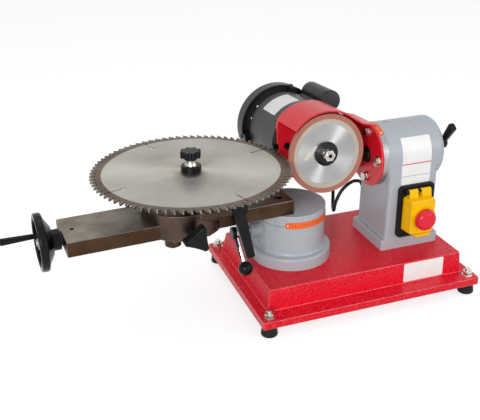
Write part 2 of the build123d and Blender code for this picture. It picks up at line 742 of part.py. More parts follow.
# Swivel scale: a strip bent round the turntable
with BuildPart() as swivel_scale:
    with BuildSketch(ARM.offset(TURNTABLE_BOTTOM + SWIVEL_SCALE_LIFT)):
        with BuildLine():
            for radius in (TURNTABLE_R, TURNTABLE_R + SCALE_THICK):
                CenterArc((0, 0), radius, SWIVEL_SCALE_TURNS[0], SWIVEL_SCALE_SPAN)
            for turn in SWIVEL_SCALE_TURNS:
                Line(*ring_spots(TURNTABLE_R, [turn]), *ring_spots(TURNTABLE_R + SCALE_THICK, [turn]))
        make_face()
    extrude(amount=SWIVEL_SCALE_HEIGHT)

# Slide bar: a flat bar with a channel for the lead screw in its underside
with BuildPart() as slide_bar:
    with BuildSketch(ARM.offset(BAR_BOTTOM)):
        with Locations(((BAR_LEFT + BAR_RIGHT) / 2, 0)):
            Rectangle(BAR_RIGHT - BAR_LEFT, BAR_WIDTH)
    extrude(amount=BAR_TOP - BAR_BOTTOM)
    chamfer(slide_bar.edges().group_by(Axis.Z)[-1], BAR_EDGE)
    with BuildSketch(ARM.offset(BAR_BOTTOM)):
        with Locations(((CHANNEL_LEFT + CHANNEL_RIGHT) / 2, 0)):
            Rectangle(CHANNEL_RIGHT - CHANNEL_LEFT, CHANNEL_WIDTH)
    extrude(amount=CHANNEL_TOP - BAR_BOTTOM, mode=Mode.SUBTRACT)
    with BuildSketch(across(ARM, BAR_LEFT)):
        with Locations((0, SCREW_Z)):
            Circle(BUSH_R)
    extrude(amount=CHANNEL_LEFT - BAR_LEFT, mode=Mode.SUBTRACT)
    with BuildSketch(across(ARM, CHANNEL_RIGHT)):
        with Locations((0, SCREW_Z)):
            Circle(SCREW_TAIL_R + RUN)
    extrude(amount=SCREW_TAIL + GAP, mode=Mode.SUBTRACT)
    with BuildSketch(ARM.offset(SCREW_Z)):
        with Locations((OIL_HOLE_X, 0)):
            Circle(OIL_HOLE_R)
    extrude(amount=BAR_TOP - SCREW_Z, mode=Mode.SUBTRACT)
    with BuildSketch(ARM.offset(BAR_TOP - BAR_BOLT_SINK)):
        with Locations((BAR_BOLT_X, BAR_BOLT_Y), (BAR_BOLT_X, -BAR_BOLT_Y)):
            Circle(BAR_BOLT_HEAD_R + GAP)
    extrude(amount=BAR_BOLT_SINK, mode=Mode.SUBTRACT)
    with BuildSketch(ARM.offset(BAR_BOTTOM)):
        with Locations((BAR_BOLT_X, BAR_BOLT_Y), (BAR_BOLT_X, -BAR_BOLT_Y)):
            Circle(BOLT_R)
    extrude(amount=BAR_TOP - BAR_BOTTOM, mode=Mode.SUBTRACT)

# Bar bolts: two socket screws through the bar into the turntable
with BuildPart() as bar_bolts:
    with BuildSketch(ARM.offset(BAR_TOP - BAR_BOLT_SINK)):
        with Locations((BAR_BOLT_X, BAR_BOLT_Y), (BAR_BOLT_X, -BAR_BOLT_Y)):
            Circle(BAR_BOLT_HEAD_R)
    extrude(amount=BAR_BOLT_HEAD)
    with BuildSketch(ARM.offset(BAR_TOP - BAR_BOLT_SINK)):
        with Locations((BAR_BOLT_X, BAR_BOLT_Y), (BAR_BOLT_X, -BAR_BOLT_Y)):
            Circle(BOLT_R)
    extrude(amount=-(BAR_TOP - BAR_BOLT_SINK - BAR_BOTTOM + BAR_BOLT_GRIP))
    with BuildSketch(ARM.offset(BAR_TOP - BAR_BOLT_SINK + BAR_BOLT_HEAD / 2)):
        with Locations((BAR_BOLT_X, BAR_BOLT_Y), (BAR_BOLT_X, -BAR_BOLT_Y)):
            RegularPolygon(BAR_BOLT_KEY / 2, 6, major_radius=False)
    extrude(amount=BAR_BOLT_HEAD / 2, mode=Mode.SUBTRACT)

# Screw bush: a flanged bronze bearing in the left end of the bar
with BuildPart() as screw_bush:
    with BuildSketch(across(ARM, BAR_LEFT - BUSH_FLANGE)):
        with Locations((0, SCREW_Z)):
            Circle(BUSH_FLANGE_R)
    extrude(amount=BUSH_FLANGE)
    with BuildSketch(across(ARM, BAR_LEFT)):
        with Locations((0, SCREW_Z)):
            Circle(BUSH_R)
    extrude(amount=CHANNEL_LEFT - BAR_LEFT)
    with BuildSketch(across(ARM, BAR_LEFT - BUSH_FLANGE)):
        with Locations((0, SCREW_Z)):
            Circle(SCREW_JOURNAL_R + RUN)
    extrude(amount=BUSH_FLANGE + CHANNEL_LEFT - BAR_LEFT, mode=Mode.SUBTRACT)

# Lead screw: journal, threaded length and tail journal
HANDWHEEL_OUTER = HANDWHEEL_INNER - HANDWHEEL_RIM
with BuildPart() as lead_screw:
    with BuildSketch(across(ARM, HANDWHEEL_OUTER)):
        with Locations((0, SCREW_Z)):
            Circle(SCREW_JOURNAL_R)
    extrude(amount=CHANNEL_LEFT + GAP - HANDWHEEL_OUTER)
    with BuildSketch(across(ARM, CHANNEL_LEFT + GAP)):
        with Locations((0, SCREW_Z)):
            Circle(SCREW_R)
    extrude(amount=CHANNEL_RIGHT - CHANNEL_LEFT - 2 * GAP)
    with BuildSketch(across(ARM, CHANNEL_RIGHT - GAP)):
        with Locations((0, SCREW_Z)):
            Circle(SCREW_TAIL_R)
    extrude(amount=SCREW_TAIL)

# Handwheel: rounded rim, dished web, hub, and the pin of its crank grip
HUB_RIGHT = BAR_LEFT - BUSH_FLANGE - GAP
RIM_MIDDLE_R = WHEEL_RIM_R - HANDWHEEL_RIM_DEPTH / 2
CRANK_SPOT = (CRANK_Y, SCREW_Z - CRANK_DROP)
with BuildPart() as handwheel:
    with BuildSketch(CRANK):
        with Locations((HANDWHEEL_INNER - HANDWHEEL_RIM / 2, RIM_MIDDLE_R)):
            RectangleRounded(HANDWHEEL_RIM, HANDWHEEL_RIM_DEPTH, HANDWHEEL_RIM_DEPTH * 0.42)
        with BuildLine():
            Polyline(
                (HANDWHEEL_OUTER + 2, SCREW_JOURNAL_R),
                (HUB_RIGHT, SCREW_JOURNAL_R),
                (HUB_RIGHT, HANDWHEEL_HUB_R),
                (HANDWHEEL_INNER + HANDWHEEL_DISH, HANDWHEEL_HUB_R),
                (HANDWHEEL_INNER + HANDWHEEL_DISH, HANDWHEEL_DISH_R),
                (HANDWHEEL_INNER - 1, RIM_MIDDLE_R),
                (HANDWHEEL_INNER - 1 - HANDWHEEL_WEB, RIM_MIDDLE_R),
                (HANDWHEEL_INNER + HANDWHEEL_DISH - HANDWHEEL_WEB, HANDWHEEL_DISH_R - 2),
                (HANDWHEEL_INNER + HANDWHEEL_DISH - HANDWHEEL_WEB, HANDWHEEL_HUB_R - 3),
                (HANDWHEEL_OUTER + 2, HANDWHEEL_HUB_R - 5),
                close=True,
            )
        make_face()
    revolve(axis=CRANK_AXIS)
    with BuildSketch(across(ARM, HANDWHEEL_OUTER)):
        with Locations(CRANK_SPOT):
            Circle(CRANK_PIN_BOSS_R)
    extrude(amount=HANDWHEEL_RIM)
    with BuildSketch(across(ARM, HANDWHEEL_OUTER)):
        with Locations(CRANK_SPOT):
            Circle(CRANK_PIN_R)
    extrude(amount=-(GAP + GRIP_LENGTH - 4))

# Crank grip: a turned handle that runs free on its pin
GRIP_PLANE = Plane(
    origin=ARM.from_local_coords((HANDWHEEL_OUTER - GAP, *CRANK_SPOT)),
    x_dir=-ARM.x_dir,
    z_dir=ARM.z_dir,
)
with BuildPart() as crank_grip:
    with BuildSketch(GRIP_PLANE):
        with BuildLine():
            Polyline((0, CRANK_PIN_R + RUN), (0, GRIP_ROOT_R))
            Polyline(
                (0, GRIP_ROOT_R),
                (GRIP_LENGTH - GRIP_END_EDGE, GRIP_END_R),
                (GRIP_LENGTH, GRIP_END_R - GRIP_END_EDGE),
            )
            Polyline(
                (GRIP_LENGTH, GRIP_END_R - GRIP_END_EDGE),
                (GRIP_LENGTH, 0),
                (GRIP_LENGTH - 4 + GAP, 0),
                (GRIP_LENGTH - 4 + GAP, CRANK_PIN_R + RUN),
                (0, CRANK_PIN_R + RUN),
            )
        make_face()
    revolve(axis=Axis(GRIP_PLANE.origin, GRIP_PLANE.x_dir))

# Carriage: a round block that rides the bar, with bores for its two clamps and the arbor
KEEPER_TOP = BAR_BOTTOM - GAP
LEVER_BOSS_R = CARRIAGE_R + LEVER_Y
LEVER_BOSS_END = LEVER_HUB_LEFT - GAP
with BuildPart() as carriage:
    with BuildSketch(ARM.offset(KEEPER_TOP)):
        with Locations((CARRIAGE_X, 0)):
            Circle(CARRIAGE_R)
    extrude(amount=CARRIAGE_TOP - KEEPER_TOP)
    fillet(carriage.edges().group_by(Axis.Z)[-1], CARRIAGE_EDGE)
    with BuildSketch(ARM.offset(KEEPER_TOP)):
        with Locations((CARRIAGE_X, 0)):
            Rectangle(2 * CARRIAGE_R, BAR_WIDTH + 2 * SLIDE_PLAY)
    extrude(amount=BAR_TOP + SLIDE_PLAY - KEEPER_TOP, mode=Mode.SUBTRACT)
    with BuildSketch(ARM.offset(CARRIAGE_TOP)):
        with Locations((ARBOR_X, 0)):
            Circle(ARBOR_SPIGOT_R)
    extrude(amount=-ARBOR_SPIGOT, mode=Mode.SUBTRACT)
    with BuildSketch(across(ARM, LEVER_BOSS_END)):
        with Locations((LEVER_Y, LEVER_Z)):
            Circle(LEVER_BOSS_R)
    extrude(amount=CARRIAGE_X + LEVER_BOSS_START - LEVER_BOSS_END)
    with BuildSketch(across(ARM, LEVER_HUB_LEFT)):
        with Locations((LEVER_Y, LEVER_Z)):
            Circle(LEVER_STUD_R + RUN)
    extrude(amount=-(LEVER_STUD_DEPTH + GAP), mode=Mode.SUBTRACT)
    with BuildSketch(facing(ARM, -BAR_WIDTH / 2)):
        with Locations((TRI_X, SCREW_Z)):
            Circle(TRI_SCREW_R + RUN)
    extrude(amount=CARRIAGE_R, mode=Mode.SUBTRACT)

# Keeper plate: closes the carriage under the bar and carries the adjusting boss
with BuildPart() as keeper_plate:
    with BuildSketch(ARM.offset(KEEPER_TOP - KEEPER_THICK)):
        with Locations((CARRIAGE_X, 0)):
            Rectangle(KEEPER_LENGTH, KEEPER_WIDTH)
    extrude(amount=KEEPER_THICK)
    with BuildSketch(ARM.offset(KEEPER_BOSS_BOTTOM)):
        with Locations((KEEPER_BOSS_X, 0)):
            Circle(KEEPER_BOSS_R)
    extrude(amount=KEEPER_TOP - KEEPER_THICK - KEEPER_BOSS_BOTTOM)
    with BuildSketch(ARM.offset(KEEPER_BOSS_BOTTOM - KEEPER_TIP)):
        with Locations((KEEPER_BOSS_X, 0)):
            Circle(KEEPER_TIP_R)
    extrude(amount=KEEPER_TIP)

# Lead nut: a bronze block on the keeper plate, inside the channel of the bar
with BuildPart() as lead_nut:
    with BuildSketch(ARM.offset(KEEPER_TOP)):
        with Locations((CARRIAGE_X, 0)):
            Rectangle(NUT_LENGTH, NUT_WIDTH)
    extrude(amount=NUT_TOP - KEEPER_TOP)
    with BuildSketch(across(ARM, CARRIAGE_X - NUT_LENGTH / 2)):
        with Locations((0, SCREW_Z)):
            Circle(SCREW_R + RUN)
    extrude(amount=NUT_LENGTH, mode=Mode.SUBTRACT)

# Blade arbor: foot, post, seat for the blade, locating step and threaded stud
with BuildPart() as arbor:
    with BuildSketch(ARM.offset(CARRIAGE_TOP - ARBOR_SPIGOT)):
        with Locations((ARBOR_X, 0)):
            Circle(ARBOR_SPIGOT_R)
    extrude(amount=ARBOR_SPIGOT)
    with BuildSketch(ARM.offset(CARRIAGE_TOP)):
        with Locations((ARBOR_X, 0)):
            Circle(ARBOR_FOOT_R)
    extrude(amount=ARBOR_FOOT)
    with BuildSketch(ARM.offset(CARRIAGE_TOP + ARBOR_FOOT)):
        with Locations((ARBOR_X, 0)):
            Circle(ARBOR_POST_R)
    extrude(amount=BLADE_BOTTOM - GAP - ARBOR_SEAT - CARRIAGE_TOP - ARBOR_FOOT)
    with BuildSketch(ARM.offset(BLADE_BOTTOM - GAP - ARBOR_SEAT)):
        with Locations((ARBOR_X, 0)):
            Circle(ARBOR_SEAT_R)
    extrude(amount=ARBOR_SEAT)
    with BuildSketch(ARM.offset(BLADE_BOTTOM - GAP)):
        with Locations((ARBOR_X, 0)):
            Circle(BLADE_BORE_R - RUN)
    extrude(amount=GAP + BLADE_THICK)
    with BuildSketch(ARM.offset(BLADE_TOP)):
        with Locations((ARBOR_X, 0)):
            Circle(ARBOR_STUD_R)
    extrude(amount=ARBOR_STUD_TOP - BLADE_TOP)

# Saw blade: a toothed disc with four expansion slots
PITCH_TURN = 360.0 / TEETH
TOOTH = (
    (TOOTH_R, -1.0),
    (TIP_SEAT_R, -1.35),
    (TIP_SEAT_R, -0.45),
    (GULLET_R + 1.4, -0.45),
    (GULLET_R + 0.3, -0.15),
    (GULLET_R, 0.3),
    (GULLET_R + 0.8, 0.8),
    (GULLET_R + 2.8, 1.2),
    (GULLET_R + TOOTH_HEEL, 1.7),
)
BLADE_OUTLINE = [
    (ARBOR_X + r * cos(radians(i * PITCH_TURN + t)), r * sin(radians(i * PITCH_TURN + t)))
    for i in range(TEETH)
    for r, t in TOOTH
]
SLOT_TURNS = [PITCH_TURN * (TEETH // 4 * i + 3) + 0.35 for i in range(4)]
with BuildPart() as saw_blade:
    with BuildSketch(ARM.offset(BLADE_BOTTOM)):
        with BuildLine():
            Polyline(*BLADE_OUTLINE, close=True)
        make_face()
        with Locations((ARBOR_X, 0)):
            Circle(BLADE_BORE_R, mode=Mode.SUBTRACT)
        for turn in SLOT_TURNS:
            with Locations(*ring_spots((SLOT_INNER_R + GULLET_R + 2) / 2, [turn], (ARBOR_X, 0))):
                Rectangle(GULLET_R + 2 - SLOT_INNER_R, SLOT_WIDTH, rotation=turn, mode=Mode.SUBTRACT)
            with Locations(*ring_spots(SLOT_INNER_R, [turn], (ARBOR_X, 0))):
                Circle(SLOT_EYE_R, mode=Mode.SUBTRACT)
    extrude(amount=BLADE_THICK)

# Carbide tips: one small block brazed in the seat of each tooth
TIP = ((TIP_R, 0.0), (TIP_SEAT_R, -0.45), (TIP_SEAT_R, -1.35), (TOOTH_R, -1.0), (TIP_R - 0.5, -0.93))
with BuildPart() as carbide_tips:
    for i in range(TEETH):
        with BuildSketch(ARM.offset(BLADE_Z - TIP_THICK / 2)):
            with BuildLine():
                Polyline(
                    *[
                        (ARBOR_X + r * cos(radians(i * PITCH_TURN + t)), r * sin(radians(i * PITCH_TURN + t)))
                        for r, t in TIP
                    ],
                    close=True,
                )
            make_face()
    extrude(amount=TIP_THICK)

# Blade collar: a black ring that presses the blade on its seat
with BuildPart() as blade_collar:
    with BuildSketch(ARM.offset(BLADE_TOP)):
        with Locations((ARBOR_X, 0)):
            Circle(COLLAR_R)
            Circle(ARBOR_STUD_R + RUN, mode=Mode.SUBTRACT)
    extrude(amount=COLLAR_HEIGHT)
    chamfer(blade_collar.edges().group_by(Axis.Z)[-1].sort_by(SortBy.LENGTH)[-1], 1.2)

# Star knob: lobed grip, undercut below, on a cone-ended neck screwed on the arbor stud
with BuildPart() as star_knob:
    with BuildSketch(ARM.offset(STAR_FOOT)):
        with Locations((ARBOR_X, 0)):
            Circle(STAR_CONE_R)
    extrude(amount=STAR_CONE_HEIGHT, taper=20.0)
    with BuildSketch(ARM.offset(STAR_FOOT)):
        with Locations((ARBOR_X, 0)):
            Circle(STAR_NECK_R)
    extrude(amount=STAR_BOTTOM - STAR_FOOT)
    with BuildSketch(ARM.offset(STAR_BOTTOM - STAR_UNDER)):
        with Locations((ARBOR_X, 0)):
            Circle(STAR_NECK_R)
    extrude(amount=STAR_UNDER, taper=-45.0)
    with BuildSketch(ARM.offset(STAR_BOTTOM)):
        with Locations((ARBOR_X, 0)):
            Circle(STAR_CORE_R)
        for i in range(STAR_LOBES):
            with Locations(*ring_spots(STAR_CORE_R - 0.8, [360 / STAR_LOBES * i], (ARBOR_X, 0))):
                Circle(STAR_LOBE_R)
    extrude(amount=STAR_HEIGHT)
    fillet(star_knob.edges().group_by(Axis.Z)[-1], 1.6)
    with BuildSketch(ARM.offset(STAR_FOOT)):
        with Locations((ARBOR_X, 0)):
            Circle(ARBOR_STUD_R + RUN)
    extrude(amount=ARBOR_STUD_TOP + GAP - STAR_FOOT, mode=Mode.SUBTRACT)

# Tri-lobe knob: clamps the carriage on the bar from the front
TRI_INNER = -(CARRIAGE_R + GAP)
TRI_FACE = TRI_INNER - TRI_HUB_LENGTH
TRI_TIP_REACH = TRI_REACH - TRI_ARM_WIDTH / 2
TRI_SIDE_R = sqrt(TRI_TIP_REACH**2 + TRI_ARM_WIDTH**2 / 4)
TRI_SIDE_TURN = degrees(atan2(TRI_ARM_WIDTH / 2, TRI_TIP_REACH))
with BuildPart() as tri_knob:
    with BuildSketch(facing(ARM, -BAR_WIDTH / 2 - GAP)):
        with Locations((TRI_X, SCREW_Z)):
            Circle(TRI_SCREW_R)
    extrude(amount=-TRI_FACE - BAR_WIDTH / 2 - GAP)
    with BuildSketch(facing(ARM, TRI_INNER)):
        with Locations((TRI_X, SCREW_Z)):
            Circle(TRI_HUB_R)
    extrude(amount=TRI_HUB_LENGTH)
    with BuildSketch(facing(ARM, TRI_FACE)):
        with Locations((TRI_X, SCREW_Z)):
            Circle(TRI_CORE_R)
        for turn in TRI_TURNS:
            with Locations(*ring_spots(TRI_TIP_REACH, [turn], (TRI_X, SCREW_Z))):
                Circle(TRI_ARM_WIDTH / 2)
            with BuildLine():
                Polyline(
                    *ring_spots(TRI_CORE_R, (turn - TRI_ARM_HALF, turn + TRI_ARM_HALF), (TRI_X, SCREW_Z)),
                    *ring_spots(TRI_SIDE_R, (turn + TRI_SIDE_TURN, turn - TRI_SIDE_TURN), (TRI_X, SCREW_Z)),
                    close=True,
                )
            make_face()
    extrude(amount=TRI_THICK)
    fillet(tri_knob.faces().sort_by(Axis(ARM.origin, -ARM.y_dir))[-1].edges(), 2.0)

# Carriage lever: stud, round hub and a hanging arm
LEVER_TOP = Plane(
    origin=ARM.from_local_coords((LEVER_ARM_X, LEVER_Y, LEVER_Z)),
    x_dir=ARM.x_dir,
    z_dir=ARM.z_dir,
)
LEVER_END = Plane(
    origin=ARM.from_local_coords((LEVER_ARM_X + LEVER_ARM_SPLAY, LEVER_Y, LEVER_Z - LEVER_ARM_LENGTH)),
    x_dir=ARM.x_dir,
    z_dir=ARM.z_dir,
)
with BuildPart() as carriage_lever:
    with BuildSketch(LEVER_TOP):
        RectangleRounded(LEVER_ARM_ROOT[0], LEVER_ARM_ROOT[1], 4)
    with BuildSketch(LEVER_END):
        RectangleRounded(LEVER_ARM_TIP[0], LEVER_ARM_TIP[1], 4)
    loft()
    fillet(carriage_lever.faces().sort_by(Axis.Z)[0].edges(), 3.0)
    with BuildSketch(across(ARM, LEVER_HUB_LEFT)):
        with Locations((LEVER_Y, LEVER_Z)):
            Circle(LEVER_HUB_R)
    extrude(amount=LEVER_HUB_RIGHT - LEVER_HUB_LEFT)
    with BuildSketch(across(ARM, LEVER_HUB_LEFT)):
        with Locations((LEVER_Y, LEVER_Z)):
            Circle(LEVER_STUD_R)
    extrude(amount=-LEVER_STUD_DEPTH)

# Pivot: the disc that carries the head and its shaft in the barrel
DISC_RIGHT = BARREL_LEFT - GAP
DISC_LEFT = DISC_RIGHT - PIVOT_DISC
with BuildPart() as pivot_shaft:
    with BuildSketch(across(HEAD, DISC_LEFT)):
        Circle(PIVOT_DISC_R)
    extrude(amount=PIVOT_DISC)
    with BuildSketch(across(HEAD, DISC_RIGHT)):
        Circle(PIVOT_R)
    extrude(amount=BARREL_RIGHT - PIVOT_END - DISC_RIGHT)
    with BuildSketch(across(HEAD, DISC_LEFT)):
        Circle(DRAW_R)
    extrude(amount=BARREL_RIGHT - PIVOT_END - DISC_LEFT, mode=Mode.SUBTRACT)
    with BuildSketch(across(HEAD, DISC_LEFT)):
        with Locations(*ring_spots(BRACKET_BOLT_RING, BRACKET_BOLT_TURNS)):
            Circle(BOLT_R)
    extrude(amount=PIVOT_DISC, mode=Mode.SUBTRACT)

# Motor bracket: round flange on the pivot disc and the plate that holds the motor
FLANGE_LEFT = DISC_LEFT - BRACKET_FLANGE
PLATE_REAR = PLATE_FRONT + PLATE_THICK
PLATE_R = GUARD_R - RUN
PLATE_EDGE_Z = WHEEL_RISE + sqrt(PLATE_R**2 - PLATE_LEFT**2)
GUARD_LEAVE = ring_spots(PLATE_R, [GUARD_END], (WHEEL_X, WHEEL_RISE))[0]
MOTOR_SCREW_SPOTS = ring_spots(MOTOR_SCREW_RING, (0, 90, 180, 270), (WHEEL_X, WHEEL_RISE))
TIE_SPOTS = ring_spots(TIE_RING, (0, 90, 180, 270), (WHEEL_X, WHEEL_RISE))
with BuildPart() as motor_bracket:
    with BuildSketch(across(HEAD, FLANGE_LEFT)):
        Circle(BRACKET_R)
        with BuildLine():
            Polyline(
                (0, GUARD_TAIL_Z - GUARD_THICK / 2),
                (PLATE_REAR, GUARD_TAIL_Z - GUARD_THICK / 2),
                (PLATE_REAR, PLATE_FOOT),
                BRACKET_CHIN[1],
                BRACKET_CHIN[0],
                (0, 0),
                close=True,
            )
        make_face()
    extrude(amount=BRACKET_FLANGE)
    with BuildSketch(facing(HEAD, PLATE_REAR)):
        with BuildLine():
            Polyline(
                (WHEEL_X - PLATE_LEFT, PLATE_EDGE_Z),
                (WHEEL_X - PLATE_LEFT, PLATE_FOOT),
                (DISC_LEFT, PLATE_FOOT),
                (DISC_LEFT, GUARD_TAIL_Z - GUARD_THICK / 2),
                (GUARD_KNEE[0], GUARD_KNEE[1] - GUARD_THICK),
                GUARD_LEAVE,
            )
            ThreePointArc(
                GUARD_LEAVE,
                (WHEEL_X, WHEEL_RISE + PLATE_R),
                (WHEEL_X - PLATE_LEFT, PLATE_EDGE_Z),
            )
        make_face()
    extrude(amount=PLATE_THICK)
    with BuildSketch(across(HEAD, FLANGE_LEFT)):
        Circle(DRAW_R)
        with Locations(*ring_spots(BRACKET_BOLT_RING, BRACKET_BOLT_TURNS)):
            Circle(BOLT_R)
    extrude(amount=BRACKET_FLANGE, mode=Mode.SUBTRACT)
    with BuildSketch(facing(HEAD, PLATE_REAR)):
        with Locations((WHEEL_X, WHEEL_RISE)):
            Circle(PLATE_EYE_R)
        with Locations(*MOTOR_SCREW_SPOTS):
            Circle(MOTOR_SCREW_R)
        with Locations(*TIE_SPOTS):
            Circle(TIE_NOTCH_R)
    extrude(amount=PLATE_THICK, mode=Mode.SUBTRACT)

# Draw bolt: pulls the head against the barrel
with BuildPart() as draw_bolt:
    with BuildSketch(across(HEAD, FLANGE_LEFT - DRAW_HEAD)):
        Circle(DRAW_HEAD_R)
    extrude(amount=DRAW_HEAD)
    chamfer(draw_bolt.edges().sort_by(Axis.X)[0], 1.5)
    with BuildSketch(across(HEAD, FLANGE_LEFT)):
        Circle(DRAW_R)
    extrude(amount=BARREL_RIGHT + DRAW_END - FLANGE_LEFT)

# Bracket bolts: four hexagon screws with washers, bracket to pivot disc
with BuildPart() as bracket_bolts:
    with BuildSketch(across(HEAD, FLANGE_LEFT)):
        with Locations(*ring_spots(BRACKET_BOLT_RING, BRACKET_BOLT_TURNS)):
            Circle(WASHER_R)
    extrude(amount=-WASHER_THICK)
    with BuildSketch(across(HEAD, FLANGE_LEFT - WASHER_THICK)):
        with Locations(*ring_spots(BRACKET_BOLT_RING, BRACKET_BOLT_TURNS)):
            RegularPolygon(BOLT_FLATS / 2, 6, major_radius=False)
    extrude(amount=-BRACKET_BOLT_HEAD)
    with BuildSketch(across(HEAD, FLANGE_LEFT)):
        with Locations(*ring_spots(BRACKET_BOLT_RING, BRACKET_BOLT_TURNS)):
            Circle(BOLT_R)
    extrude(amount=BRACKET_BOLT_GRIP)

# Wheel guard: a bent strip over the wheel, running down to the flange
with BuildPart() as wheel_guard:
    with BuildSketch(facing(HEAD, PLATE_REAR)):
        with BuildLine():
            GUARD_ARC = CenterArc(
                (WHEEL_X, WHEEL_RISE), GUARD_R + GUARD_THICK / 2, GUARD_START, GUARD_END - GUARD_START
            )
            FilletPolyline(
                GUARD_ARC @ 1,
                GUARD_KNEE,
                (FLANGE_LEFT, GUARD_TAIL_Z + GUARD_THICK / 2),
                radius=GUARD_BEND,
            )
        trace(line_width=GUARD_THICK)
    extrude(amount=PLATE_REAR - GUARD_FRONT)

# Motor end shield at the front, with the seat of the front bearing
SHIELD_REAR = PLATE_REAR + SHIELD_THICK
FRONT_BEARING = PLATE_REAR + 5
with BuildPart() as front_shield:
    with BuildSketch(SPINDLE):
        with BuildLine():
            Polyline(
                (PLATE_EYE_R - 8, PLATE_REAR),
                (MOTOR_R, PLATE_REAR),
                (MOTOR_R, SHIELD_REAR),
                (BEARING_BOSS_R, SHIELD_REAR),
                (BEARING_BOSS_R, FRONT_BEARING + BEARING_WIDTH),
                (BEARING_R, FRONT_BEARING + BEARING_WIDTH),
                (BEARING_R, FRONT_BEARING),
                (PLATE_EYE_R - 8, FRONT_BEARING),
                close=True,
            )
        make_face()
    revolve(axis=SPINDLE_AXIS)
    with BuildSketch(facing(HEAD, PLATE_REAR)):
        with Locations(*MOTOR_SCREW_SPOTS, *TIE_SPOTS):
            Circle(MOTOR_SCREW_R)
    extrude(amount=-MOTOR_SCREW_GRIP, mode=Mode.SUBTRACT)

# Motor housing: the rolled tube round the windings
with BuildPart() as motor_housing:
    with BuildSketch(facing(HEAD, HOUSING_END)):
        with Locations((WHEEL_X, WHEEL_RISE)):
            Circle(MOTOR_R)
            Circle(MOTOR_R - MOTOR_WALL, mode=Mode.SUBTRACT)
    extrude(amount=HOUSING_END - SHIELD_REAR)

# Rear end shield, with the seat of the rear bearing
REAR_END = HOUSING_END + REAR_SHIELD
with BuildPart() as rear_shield:
    with BuildSketch(SPINDLE):
        with BuildLine():
            Polyline(
                (BEARING_R, HOUSING_END - 4),
                (BEARING_BOSS_R, HOUSING_END - 4),
                (BEARING_BOSS_R, HOUSING_END),
                (MOTOR_R, HOUSING_END),
                (MOTOR_R, HOUSING_END + 2),
                (REAR_SHIELD_R, HOUSING_END + 2),
                (REAR_SHIELD_R, REAR_END),
                (SHAFT_R + 3, REAR_END),
                (SHAFT_R + 3, HOUSING_END - 4 + BEARING_WIDTH),
                (BEARING_R, HOUSING_END - 4 + BEARING_WIDTH),
                close=True,
            )
        make_face()
    revolve(axis=SPINDLE_AXIS)

# Fan cover: a slotted cup held off the rear shield by four lugs
LUG_TURNS = (70, 190, 310)
VENT_MIDDLE = (COVER_VENT_RING[0] + COVER_VENT_RING[1]) / 2
with BuildPart() as fan_cover:
    with BuildSketch(facing(HEAD, COVER_END)):
        with Locations((WHEEL_X, WHEEL_RISE)):
            Circle(COVER_R)
    extrude(amount=COVER_END - COVER_MOUTH)
    fillet(fan_cover.edges().sort_by(SPINDLE_AXIS)[-1], 3.0)
    with BuildSketch(facing(HEAD, COVER_END - COVER_WALL)):
        with Locations((WHEEL_X, WHEEL_RISE)):
            Circle(COVER_R - COVER_WALL)
    extrude(amount=COVER_END - COVER_WALL - COVER_MOUTH, mode=Mode.SUBTRACT)
    with BuildSketch(facing(HEAD, COVER_END)):
        for i in range(COVER_VENTS):
            with Locations(*ring_spots(VENT_MIDDLE, [360 / COVER_VENTS * i], (WHEEL_X, WHEEL_RISE))):
                SlotOverall(
                    COVER_VENT_RING[1] - COVER_VENT_RING[0] if i % 2 else COVER_VENT_SHORT,
                    COVER_VENT_WIDTH,
                    rotation=360 / COVER_VENTS * i,
                )
    extrude(amount=COVER_WALL, mode=Mode.SUBTRACT)
    with BuildSketch(facing(HEAD, COVER_MOUTH + 6)):
        for turn in LUG_TURNS:
            with Locations(*ring_spots((REAR_SHIELD_R + COVER_R - 1) / 2, [turn], (WHEEL_X, WHEEL_RISE))):
                Rectangle(COVER_R - 1 - REAR_SHIELD_R + 2, COVER_LUG_WIDTH, rotation=turn)
        with Locations((WHEEL_X, WHEEL_RISE)):
            Circle(REAR_SHIELD_R, mode=Mode.SUBTRACT)
    extrude(amount=COVER_MOUTH + 6 - COVER_LUG_START)

# Motor bearings: two ball bearings, drawn as plain rings
with BuildPart() as motor_bearings:
    with BuildSketch(facing(HEAD, FRONT_BEARING + BEARING_WIDTH)):
        with Locations((WHEEL_X, WHEEL_RISE)):
            Circle(BEARING_R)
            Circle(SHAFT_R + RUN, mode=Mode.SUBTRACT)
    extrude(amount=BEARING_WIDTH)
    with BuildSketch(facing(HEAD, HOUSING_END - 4 + BEARING_WIDTH)):
        with Locations((WHEEL_X, WHEEL_RISE)):
            Circle(BEARING_R)
            Circle(SHAFT_R + RUN, mode=Mode.SUBTRACT)
    extrude(amount=BEARING_WIDTH)

# Stator: the iron ring with the coil ends on both sides
with BuildPart() as stator:
    with BuildSketch(facing(HEAD, STATOR_START + STATOR_LENGTH)):
        with Locations((WHEEL_X, WHEEL_RISE)):
            Circle(MOTOR_R - MOTOR_WALL)
            Circle(STATOR_INNER_R, mode=Mode.SUBTRACT)
    extrude(amount=STATOR_LENGTH)
    with BuildSketch(facing(HEAD, STATOR_START + STATOR_LENGTH + COIL_LENGTH)):
        with Locations((WHEEL_X, WHEEL_RISE)):
            Circle(COIL_R[1])
            Circle(COIL_R[0], mode=Mode.SUBTRACT)
    extrude(amount=STATOR_LENGTH + 2 * COIL_LENGTH)

